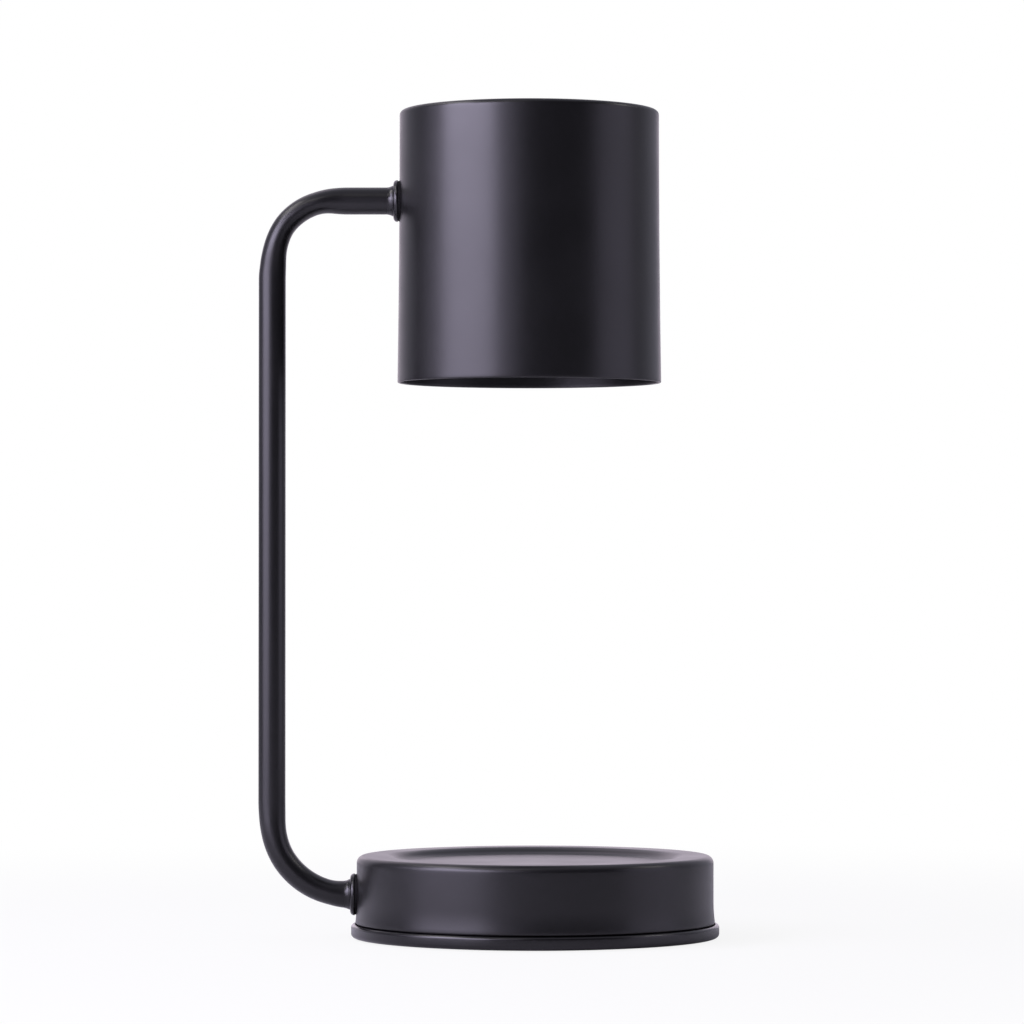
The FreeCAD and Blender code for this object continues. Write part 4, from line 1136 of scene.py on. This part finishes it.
    def gasket(self, name: str, node: str, axis_x: float,
               radius_at: Callable[[Array], Array]) -> bpy.types.Object:
        """Shapes a rubber ring whose back is bent to the wall: x = axis - sqrt(R(z)^2 - y^2).

        Round the ring's section a point has its radius and its level: up to 1 the level is how far it
        is behind the front, at 1 the point is where the rim ends, and at 2 it is on the wall.

        Args:
            name: the piece's name.
            node: the CAD gasket.
            axis_x: the x of the wall's axis.
            radius_at: the wall's radius at a height.

        Returns:
            The gasket's object.
        """
        low, high = box_mm(node)
        outer, front, middle = (high[2] - low[2]) / 2, low[0], (low[2] + high[2]) / 2
        bore, edge = self.end_r + self.play[1], self.gasket_edge
        round_edge = arc((outer - edge, edge), edge, -90, 0, 6)
        section = chain((bore, 0), round_edge, (outer, 1), (outer - 0.01, 2), (bore, 2))
        angle = np.linspace(0, 2 * np.pi, self.columns, endpoint=False)
        r, level = section[:, :1], np.repeat(section[:, 1:], self.columns, axis=1)
        y, z = r * np.cos(angle), middle + r * np.sin(angle)
        wall = axis_x - np.sqrt(radius_at(z) ** 2 - y ** 2)
        rim = np.minimum(wall, front + self.gasket_t)
        x = np.where(level < 1, front + level, np.where(level > 1.5, wall, rim))
        return put(name, Skin(np.stack((x, y, z), axis=-1), closed_rows=True))

    def build(self) -> None:
        """Shapes and dresses the arm and what clamps it."""
        self.place(self.tube(), "arm_tube", Finishes.PAINT)
        self.place(self.collar("upper_turned_collar", "upper_collar"), "upper_collar", Finishes.TRIM)
        self.place(self.collar("lower_turned_collar", "lower_collar"), "lower_collar", Finishes.TRIM)
        shade_low, shade_high = box_mm("shade")
        shade_x = (shade_high[0] + shade_low[0]) / 2
        upper = self.gasket("upper_wall_gasket", "upper_gasket", shade_x, DrumShade.radius_at)
        lower = self.gasket("lower_wall_gasket", "lower_gasket", 0.0, WeightedBase.radius_at)
        self.place(upper, "upper_gasket", Finishes.RUBBER)
        self.place(lower, "lower_gasket", Finishes.RUBBER)
        self.dress(Finishes.PLATED, "upper_washer", "lower_washer", "upper_locknut", "lower_locknut")
        self.dress(Finishes.NYLON, "upper_bush", "lower_bush")
        self.dress(Finishes.SLEEVE, "lead_1", "lead_2")


@dataclass
class DrumShade(Assembly):
    """The spun drum: closed top, a wall that widens slowly downwards and a rounded rim.

    Attributes:
        sheet: its thickness.
        fillet: radius of the top edge.
        top_r: the wall's radius under the fillet, where it is upright.
        upright_z: the height there.
        flare_r: radius of the wall's slow outward curve.
        arm_hole: radius of the wall's hole for the arm.
        rim_round: how far in the sheet's cut edges are rounded, almost half of it.
    """

    sheet: float = 0.9
    fillet: float = 1.8
    top_r: float = 49.45
    upright_z: float = 313.2
    flare_r: float = 6500.0
    arm_hole: float = 5.15
    rim_round: float = 0.44

    @classmethod
    def radius_at(cls, z: Array) -> Array:
        """The wall's radius: top_r + d^2 / (2 flare_r), d down from where it is upright.

        Args:
            z: heights in millimetres.

        Returns:
            The radii.
        """
        return cls.top_r + (cls.upright_z - z) ** 2 / (2 * cls.flare_r)

    def drum(self) -> bpy.types.Object:
        """Shapes the drum from the middle of its top out to the rim.

        Returns:
            The shade's object.
        """
        low, high = box_mm("shade")
        axis_x, top = (high[0] + low[0]) / 2, high[2]
        heights = np.linspace(self.upright_z, low[2], 81)
        wall = np.column_stack((self.radius_at(heights), heights))
        wall[:, 0] = np.minimum(wall[:, 0], (high[0] - low[0]) / 2)
        outline = chain(
            line((0, top), (self.top_r - self.fillet, top), 3.0),
            arc((self.top_r - self.fillet, top - self.fillet), self.fillet, 90, 0, 14), wall)
        skin = turned(outline, 256, centre=(axis_x, 0, 0))
        nut_low, nut_high = box_mm("upper_locknut")
        Hole(180, (nut_low[2] + nut_high[2]) / 2, self.arm_hole).pierce(skin, wall, axis_x)
        return put("spun_shade", skin, wall=self.sheet, soften=self.rim_round)

    def build(self) -> None:
        """Shapes and dresses the shade."""
        self.place(self.drum(), "shade", Finishes.PAINT)


@dataclass
class TwistLockHolder(Assembly):
    """The bracket and the ceramic lampholder under it."""

    def build(self) -> None:
        """Dresses the holder's pieces."""
        self.dress(Finishes.PLATED, "holder_bracket", "holder_screws", "holder_nuts")
        self.dress(Finishes.CERAMIC, "lampholder")
        self.dress(Finishes.BRASS, "holder_contact_1", "holder_contact_2")


@dataclass
class Burner:
    """The bulb's burner: a domed glass tube pinched flat, and a tungsten coil in its hollow.

    Attributes:
        centre: the middle of the bulb's face, above which all heights are.
        end_z: where the bulb's neck ends.
        tip: height of the tube's domed tip.
        shoulder: height where the pinch starts.
        pinch: height from which it is flat.
        radius: the tube's radius.
        wall: thickness of its glass.
        half: half the pinch's width and half its thickness.
        columns: how many places round it.
        turns: how many turns the coil has.
        coil_r: the coil's radius.
        coil_span: its length across the tube.
        coil_z: its height.
        wire: the wire's radius.
        foot_x: how far from the middle its two legs stand.
        foot_z: height of their feet.
    """

    centre: Array
    end_z: float
    tip: float = 14.0
    shoulder: float = 25.5
    pinch: float = 28.5
    radius: float = 4.5
    wall: float = 0.8
    half: Span = (4.0, 1.5)
    columns: int = 64
    turns: int = 9
    coil_r: float = 0.7
    coil_span: float = 4.4
    coil_z: float = 19.5
    wire: float = 0.14
    foot_x: float = 1.6
    foot_z: float = 28.0

    def shell(self, wall: float, end: float) -> Array:
        """The outer or the inner face of the glass.

        A section is |x / a|^n + |y / b|^n = 1, from round (n = 2) to nearly square (n = 6), by the
        smooth step over the pinch.

        Args:
            wall: how far it is in from the outer face.
            end: the height where it ends in a flat lid.

        Returns:
            Its grid, rows by columns by three.
        """
        r, dome = self.radius, np.radians(np.linspace(0, 90, 13))
        z = np.concatenate((self.tip + r - (r - wall) * np.cos(dome),
                            np.linspace(self.tip + r, self.shoulder, 8)[1:],
                            np.linspace(self.shoulder, self.pinch, 10)[1:], [end]))
        ball = np.concatenate(((r - wall) * np.sin(dome), np.full(len(z) - len(dome), r - wall)))
        t = smooth_step(z, self.shoulder, self.pinch)
        a = ball + t * (self.half[0] - r)
        b = ball * (1 - t) + t * (self.half[1] - wall)
        power = (2 / (2 + 4 * t))[:, None]
        angle = np.linspace(0, 2 * np.pi, self.columns, endpoint=False)
        cos, sin = np.cos(angle), np.sin(angle)
        x = a[:, None] * np.sign(cos) * np.abs(cos) ** power
        y = b[:, None] * np.sign(sin) * np.abs(sin) ** power
        grid = np.stack((x, y, np.repeat(z[:, None], self.columns, axis=1)), axis=-1)
        lid = grid[-1:].copy()
        lid[..., :2] = 0
        return np.concatenate((grid, lid)) + self.centre

    def glass(self) -> bpy.types.Object:
        """Shapes the glass and the hollow inside it.

        The glass ends just short of the bulb's neck, and the hollow just past the start of the flat
        pinch.

        Returns:
            The glass's object.
        """
        outer = self.shell(0.0, self.end_z - 0.05)
        hollow = self.shell(self.wall, self.pinch + 0.2)
        return put("burner_glass", Skin(outer), Skin(hollow, cavity=True))

    def filament(self) -> bpy.types.Object:
        """Shapes the coil and its two legs: a round wire carried along a path.

        The path is a leg, a helix across the tube, and the other leg. The wire's rings are turned by
        the cross product of the path with a direction that it never runs along.

        Returns:
            The filament's object.
        """
        t = np.linspace(0, 1, 271)
        wound = 2 * np.pi * self.turns * t
        coil = np.column_stack(((t - 0.5) * self.coil_span, self.coil_r * np.cos(wound),
                                self.coil_z + self.coil_r * np.sin(wound)))
        up = np.linspace(0, 1, 20)[:, None]
        foot_left = np.array([-self.foot_x, 0, self.foot_z])
        foot_right = np.array([self.foot_x, 0, self.foot_z])
        left = foot_left + (coil[0] - foot_left) * up
        right = coil[-1] + (foot_right - coil[-1]) * up
        path = np.vstack((left[:-1], coil, right[1:]))
        tangent = np.gradient(path, axis=0)
        tangent /= np.linalg.norm(tangent, axis=1, keepdims=True)
        side = np.cross(tangent, np.array([0.3, 0.9, 0.3]))
        side /= np.linalg.norm(side, axis=1, keepdims=True)
        other = np.cross(tangent, side)
        angle = np.linspace(0, 2 * np.pi, 8, endpoint=False)[None, :, None]
        ring = path[:, None] + self.wire * (np.cos(angle) * side[:, None] + np.sin(angle) * other[:, None])
        ends = path[[0, -1], None] + np.zeros((1, 8, 1))
        return put("tungsten_filament", Skin(np.concatenate((ends[:1], ring, ends[1:])) + self.centre))


@dataclass
class ReflectorBulb(Assembly):
    """The twist-lock reflector bulb, with all heights above its face.

    Attributes:
        wall: thickness of the reflector's glass.
        rim_h: height of its straight rim.
        rim_edge: radius of the rim's edge.
        seat_h: height of the ledge in the rim that the front glass rests on.
        ledge: width of that ledge.
        neck_z: height where the bowl ends in the neck.
        neck_r: the neck's radius.
        end_z: the neck's end.
        facets: how many facets go round the bowl.
        facet_rows: how many rows of facets it has.
        lens_z: height of the front glass's middle.
        lens_dome: depth of its dome.
        lens_top: height of its flat back.
        lens_bevel: bevel round its back.
        cap_r: radius of the cap's body.
        cap_edges: radii of the edges at its foot, over its skirt and at its top.
        skirt_h: height of the skirt's wall.
        shoulder_turn: how far the edge over the skirt turns, in degrees.
        shoulder_end: where the sloped shoulder ends, out from the body and up from the foot.
        body_fillet: radius between the shoulder and the body.
        body_z: height above the foot where that fillet ends.
        play: play between the cap and the neck.
    """

    wall: float = 1.2
    rim_h: float = 3.0
    rim_edge: float = 0.5
    seat_h: float = 2.1
    ledge: float = 0.9
    neck_z: float = 29.0
    neck_r: float = 11.5
    end_z: float = 33.0
    facets: int = 28
    facet_rows: int = 9
    lens_z: float = 0.3
    lens_dome: float = 0.7
    lens_top: float = 2.0
    lens_bevel: float = 0.2
    cap_r: float = 11.0
    cap_edges: tuple[float, float, float] = (0.8, 1.2, 1.2)
    skirt_h: float = 5.9
    shoulder_turn: float = 40.0
    shoulder_end: Span = (0.35, 8.6)
    body_fillet: float = 1.0
    body_z: float = 9.3
    play: float = 0.1

    def __post_init__(self) -> None:
        """Finds the rim's radius and the middle of the bulb's face in the frame."""
        low, high = box_mm("bulb_reflector")
        self.rim_r: float = (high[0] - low[0]) / 2
        self.centre: Array = np.array([(low[0] + high[0]) / 2, 0, low[2]])

    def bowl(self, r0: float, r1: float, steps: int) -> Array:
        """A parabola: r squared falls in proportion to the height, from the rim to the neck.

        Args:
            r0: the radius at the rim's height.
            r1: the radius at the neck.
            steps: how many chords.

        Returns:
            An array of (r, z) points above the bulb's face.
        """
        z = np.linspace(self.rim_h, self.neck_z, steps + 1)
        square = r0 ** 2 + (r1 ** 2 - r0 ** 2) * (z - self.rim_h) / (z[-1] - z[0])
        return np.column_stack((np.sqrt(square), z))

    def reflector(self) -> bpy.types.Object:
        """Shapes the reflector: smooth outside, and inside a bowl of flat facets.

        Across a facet of the bowl the radius r becomes r cos(h) / cos(a), with a the angle from the
        facet's middle and h half the facet, which is a straight chord.

        Returns:
            The reflector's object.
        """
        rim_r, edge = self.rim_r, self.rim_edge
        seat_r, neck_in = rim_r - self.wall, self.neck_r - self.wall
        bowl_r = seat_r - self.ledge
        inside = self.bowl(bowl_r, neck_in, self.facet_rows)
        before = chain((rim_r, self.rim_h), arc((rim_r - edge, edge), edge, 0, -90, 6), (seat_r, 0),
                       (seat_r, self.seat_h), (bowl_r, self.seat_h))
        after = chain((neck_in, self.end_z), (self.neck_r, self.end_z),
                      self.bowl(rim_r, self.neck_r, 24)[::-1][:-1])
        columns = self.facets * 6
        skin = turned(chain(before, inside, after), columns, centre=self.centre, closed=True)
        angle = np.linspace(0, 2 * np.pi, columns, endpoint=False)
        half = np.pi / self.facets
        chord = np.cos(half) / np.cos(np.mod(angle, 2 * half) - half)
        rows = slice(len(before), len(before) + len(inside))
        axis_x = self.centre[0]
        skin.points[rows, :, 0] = axis_x + (skin.points[rows, :, 0] - axis_x) * chord
        skin.points[rows, :, 1] *= chord
        return put("faceted_reflector", skin, crease=5)

    def lens(self) -> bpy.types.Object:
        """Shapes the front glass, domed by a parabola: z = middle + dome * (r / R)^2.

        Returns:
            The lens's object.
        """
        low, high = box_mm("bulb_lens")
        radius, top, bevel = (high[0] - low[0]) / 2, self.lens_top, self.lens_bevel
        r = np.linspace(0, radius, 25)
        front = np.column_stack((r, self.lens_z + self.lens_dome * (r / radius) ** 2))
        outline = chain(front, (radius, top - bevel), (radius - bevel, top),
                        line((radius - bevel, top), (0, top), 3.0))
        return put("front_glass", turned(outline, 128, centre=self.centre))

    def cap(self) -> bpy.types.Object:
        """Shapes the ceramic cap: a skirt, a shoulder and a body that narrows to its flat top.

        Returns:
            The cap's object.
        """
        low, high = box_mm("bulb_cap")
        face_z = self.centre[2]
        skirt, body, top = (high[0] - low[0]) / 2, self.cap_r, high[2] - face_z
        foot, bore, bore_top = low[2] - face_z, self.neck_r + self.play, self.end_z + self.play
        low_edge, edge, top_edge = self.cap_edges
        out, up = self.shoulder_end
        fillet, skirt_z = self.body_fillet, foot + self.skirt_h
        outline = chain(
            (0, bore_top), (bore, bore_top), (bore, foot), (skirt - low_edge, foot),
            arc((skirt - low_edge, foot + low_edge), low_edge, -90, 0, 8), (skirt, skirt_z),
            arc((skirt - edge, skirt_z), edge, 0, self.shoulder_turn, 6), (body + out, foot + up),
            arc((body + fillet, foot + self.body_z), fillet, 180 + self.shoulder_turn, 180, 4),
            (body, top - top_edge), arc((body - top_edge, top - top_edge), top_edge, 0, 90, 8), (0, top))
        return put("ceramic_cap", turned(outline, 112, centre=self.centre))

    def pin(self, name: str, node: str) -> bpy.types.Object:
        """Shapes a headed pin: a neck, a bevelled head and a slightly domed top.

        Args:
            name: the piece's name.
            node: the CAD pin.

        Returns:
            The pin's object.
        """
        low, high = box_mm(node)
        head, foot, top = (high[0] - low[0]) / 2, low[2], high[2]
        neck, head_z, bevel, edge, edge_z = 1.5, foot + 3.7, 0.2, 0.5, top - 0.6
        outline = chain((0, foot), (neck, foot), (neck, head_z), (head - bevel, head_z),
                        (head, head_z + bevel), (head, edge_z), arc((head - edge, edge_z), edge, 0, 90, 6),
                        (0, top))
        return put(name, turned(outline, 48, centre=((low[0] + high[0]) / 2, 0, 0)))

    def build(self) -> None:
        """Shapes and dresses the bulb."""
        burner = Burner(self.centre, self.end_z)
        self.place(self.reflector(), "bulb_reflector", Finishes.MIRROR)
        self.place(self.lens(), "bulb_lens", Finishes.GLASS)
        self.place(self.cap(), "bulb_cap", Finishes.CERAMIC)
        self.place(burner.glass(), "bulb_burner", Finishes.GLASS)
        self.place(burner.filament(), "bulb_pin_1", Finishes.TUNGSTEN, stands_for=False)
        for side in ("1", "2"):
            pin = self.pin(f"contact_pin_{side}", f"bulb_pin_{side}")
            self.place(pin, f"bulb_pin_{side}", Finishes.NICKEL)


# ------------------------------------------------------------------ the studio
@dataclass(frozen=True)
class SoftBox:
    """A soft lamp that stands upright, a metre off, and faces the axis of the base.

    Attributes:
        name: its name.
        azimuth: degrees to the right of the camera, seen from the object.
        spread: how many degrees it takes up, seen from the object.
        foot: the height of its lower edge in metres.
        top: the height of its upper edge.
        radiance: how bright its face is; plain white is 1.
        colour: its colour.
    """

    name: str
    azimuth: float
    spread: float
    foot: float
    top: float
    radiance: float
    colour: Colour = (1.0, 1.0, 1.0)

    def hang(self) -> None:
        """Adds the lamp to the scene: its power is pi * radiance * area."""
        light = bpy.data.lights.new(self.name, "AREA")
        light.shape = "RECTANGLE"
        light.size = 2 * math.tan(math.radians(self.spread / 2))
        light.size_y = self.top - self.foot
        light.energy = math.pi * self.radiance * light.size * light.size_y
        light.color = self.colour
        lamp = bpy.data.objects.new(self.name, light)
        a = math.radians(self.azimuth)
        lamp.location = (math.sin(a), -math.cos(a), (self.foot + self.top) / 2)
        lamp.rotation_euler = (math.radians(90), 0, a)
        lamp.visible_camera = False
        bpy.context.scene.collection.objects.link(lamp)
        log.info("%s: %.1f W at %.0f degrees", self.name, light.energy, self.azimuth)


WHITE, VIOLET, PINK = (1.03, 0.99, 0.98), (0.96, 0.89, 1.16), (1.07, 0.90, 1.03)
SOFT_BOXES = (
    SoftBox("key_box", -55, 50, 0.4, 0.75, 8.9, VIOLET),
    SoftBox("key_middle", -55, 50, 0.2, 0.4, 4.2, VIOLET),
    SoftBox("key_foot", -55, 50, 0.0, 0.2, 2.9, VIOLET),
    SoftBox("key_side", -70, 24, 0.75, 1.15, 7.0, VIOLET),
    SoftBox("key_high", -90, 50, 1.15, 1.9, 3.8, WHITE),
    SoftBox("key_edge", -20, 20, 0.2, 0.7, 1.0, VIOLET),
    SoftBox("top_box", -32, 46, 1.1, 1.7, 1.7, WHITE),
    SoftBox("side_box", -90, 20, 0.2, 0.7, 0.8, VIOLET),
    SoftBox("fill_box", 75, 30, 0.0, 0.7, 0.85, VIOLET),
    SoftBox("fill_edge", 95, 10, 0.0, 0.7, 0.7, VIOLET),
    SoftBox("back_foot", 178, 44, 0.0, 0.45, 0.75, PINK),
    SoftBox("back_box", -155, 30, 0.0, 1.7, 0.4, PINK),
    SoftBox("fill_high", 97, 14, 0.7, 1.1, 4.0, WHITE),
    SoftBox("back_high", -170, 20, 1.0, 1.7, 0.3, PINK),
)


@dataclass
class Studio:
    """The pale floor, the white surround, the soft lamps and the camera.

    Attributes:
        camera_at: where the camera stands, in metres.
        pitch: how far it looks up, in degrees.
        lens: its focal length in millimetres on a 36 mm sensor.
        front: strength of the surround before the lamp.
        back: strength of the surround behind it.
        turn: the range of a direction's y over which the one becomes the other.
        overhead: how much stronger it is overhead.
        rise: the range of a direction's z over which that sets in.
        tint: colour of the surround.
        floor_rings: radii of the floor's rings, in metres.
        floor_z: the floor's height, just under the foot pad, in millimetres.
        floor_colour: the floor's colour.
        floor_glow: the share of its white that needs no lamp, near the object and far off.
        floor_turn: the range of the distance over which the one becomes the other, in metres.
    """

    camera_at: tuple[float, float, float] = (-0.0088, -1.794, 0.1357)
    pitch: float = 0.84
    lens: float = 165.55
    front: float = 0.11
    back: float = 0.5
    turn: Span = (-0.1, 0.8)
    overhead: float = 0.4
    rise: Span = (0.6, 0.95)
    tint: Colour = (0.95, 0.93, 1.12)
    floor_rings: tuple[float, ...] = (0, 0.25, 0.5, 1, 2, 4, 8)
    floor_z: float = -0.05
    floor_colour: Colour = (0.68, 0.68, 0.69)
    floor_glow: Span = (0.88, 1.0)
    floor_turn: Span = (0.2, 0.7)

    def camera(self) -> None:
        """Sets up the camera, looking along +Y and a little up."""
        data = bpy.data.cameras.new("camera")
        data.lens = self.lens
        data.sensor_width = 36.0
        camera = bpy.data.objects.new("camera", data)
        camera.location = self.camera_at
        camera.rotation_euler = (math.radians(90 + self.pitch), 0, 0)
        bpy.context.scene.collection.objects.link(camera)
        bpy.context.scene.camera = camera

    def surround(self) -> None:
        """Makes the world: plain white to the camera, and for all else dim and brighter behind.

        The strength along a direction d is front + (back - front) * the smooth step of d.y over turn,
        + overhead * the smooth step of d.z over rise.
        """
        world = bpy.data.worlds.new("surround")
        bpy.context.scene.world = world
        world.use_nodes = True
        tree = world.node_tree
        tree.nodes.clear()
        direction = tree.nodes.new("ShaderNodeTexCoord")
        split = tree.nodes.new("ShaderNodeSeparateXYZ")
        tree.links.new(direction.outputs["Generated"], split.inputs[0])
        total = tree.nodes.new("ShaderNodeMath")
        behind = carry(tree, split.outputs["Y"], self.turn, (self.front, self.back), smooth=True)
        tree.links.new(behind, total.inputs[0])
        above = carry(tree, split.outputs["Z"], self.rise, (0.0, self.overhead), smooth=True)
        tree.links.new(above, total.inputs[1])
        path = tree.nodes.new("ShaderNodeLightPath")
        seen = tree.nodes.new("ShaderNodeMix")
        tree.links.new(path.outputs["Is Camera Ray"], seen.inputs[MixSocket.FACTOR])
        tree.links.new(total.outputs[0], seen.inputs[MixSocket.FIRST])
        seen.inputs[MixSocket.SECOND].default_value = 1.0
        colour = tree.nodes.new("ShaderNodeMix")
        colour.data_type = "RGBA"
        tree.links.new(path.outputs["Is Camera Ray"], colour.inputs[MixSocket.FACTOR])
        colour.inputs[MixSocket.FIRST_COLOUR].default_value = (*self.tint, 1)
        colour.inputs[MixSocket.SECOND_COLOUR].default_value = (1, 1, 1, 1)
        background = tree.nodes.new("ShaderNodeBackground")
        tree.links.new(colour.outputs[MIXED_COLOUR], background.inputs["Color"])
        tree.links.new(seen.outputs[MIXED_VALUE], background.inputs["Strength"])
        output = tree.nodes.new("ShaderNodeOutputWorld")
        tree.links.new(background.outputs[0], output.inputs["Surface"])

    def floor(self) -> None:
        """Makes the pale floor: lit and shadowed near the lamp, plain white further off."""
        r = np.array(self.floor_rings) / MM
        piece = put("floor", turned(np.column_stack((r, np.full(len(r), self.floor_z))), 96))
        piece.data.flip_normals()
        material = bpy.data.materials.new("pale_floor")
        material.use_nodes = True
        tree = material.node_tree
        tree.nodes.clear()
        lit = tree.nodes.new("ShaderNodeBsdfDiffuse")
        lit.inputs["Color"].default_value = (*self.floor_colour, 1)
        glow = tree.nodes.new("ShaderNodeEmission")
        path = tree.nodes.new("ShaderNodeLightPath")
        place = tree.nodes.new("ShaderNodeTexCoord")
        distance = tree.nodes.new("ShaderNodeVectorMath")
        distance.operation = "LENGTH"
        tree.links.new(place.outputs["Object"], distance.inputs[0])
        far = carry(tree, distance.outputs["Value"], self.floor_turn, self.floor_glow, smooth=True)
        share = tree.nodes.new("ShaderNodeMath")
        share.operation = "MULTIPLY"
        tree.links.new(far, share.inputs[0])
        tree.links.new(path.outputs["Is Camera Ray"], share.inputs[1])
        mix = tree.nodes.new("ShaderNodeMixShader")
        tree.links.new(share.outputs[0], mix.inputs[0])
        tree.links.new(lit.outputs[0], mix.inputs[1])
        tree.links.new(glow.outputs[0], mix.inputs[2])
        output = tree.nodes.new("ShaderNodeOutputMaterial")
        tree.links.new(mix.outputs[0], output.inputs["Surface"])
        piece.data.materials.append(material)

    def build(self) -> None:
        """Builds the studio."""
        bpy.context.scene.view_settings.view_transform = "Standard"
        self.camera()
        self.surround()
        self.floor()
        for lamp in SOFT_BOXES:
            lamp.hang()


def main() -> None:
    """Builds the studio and the lamp's sub-assemblies in order."""
    logging.basicConfig(level=logging.INFO, format="%(name)s %(message)s")
    Studio().build()
    for assembly in (WeightedBase(), BentArm(), DrumShade(), TwistLockHolder(), ReflectorBulb()):
        log.info("building %s", type(assembly).__name__)
        assembly.build()


if __name__ == "__main__":
    main()
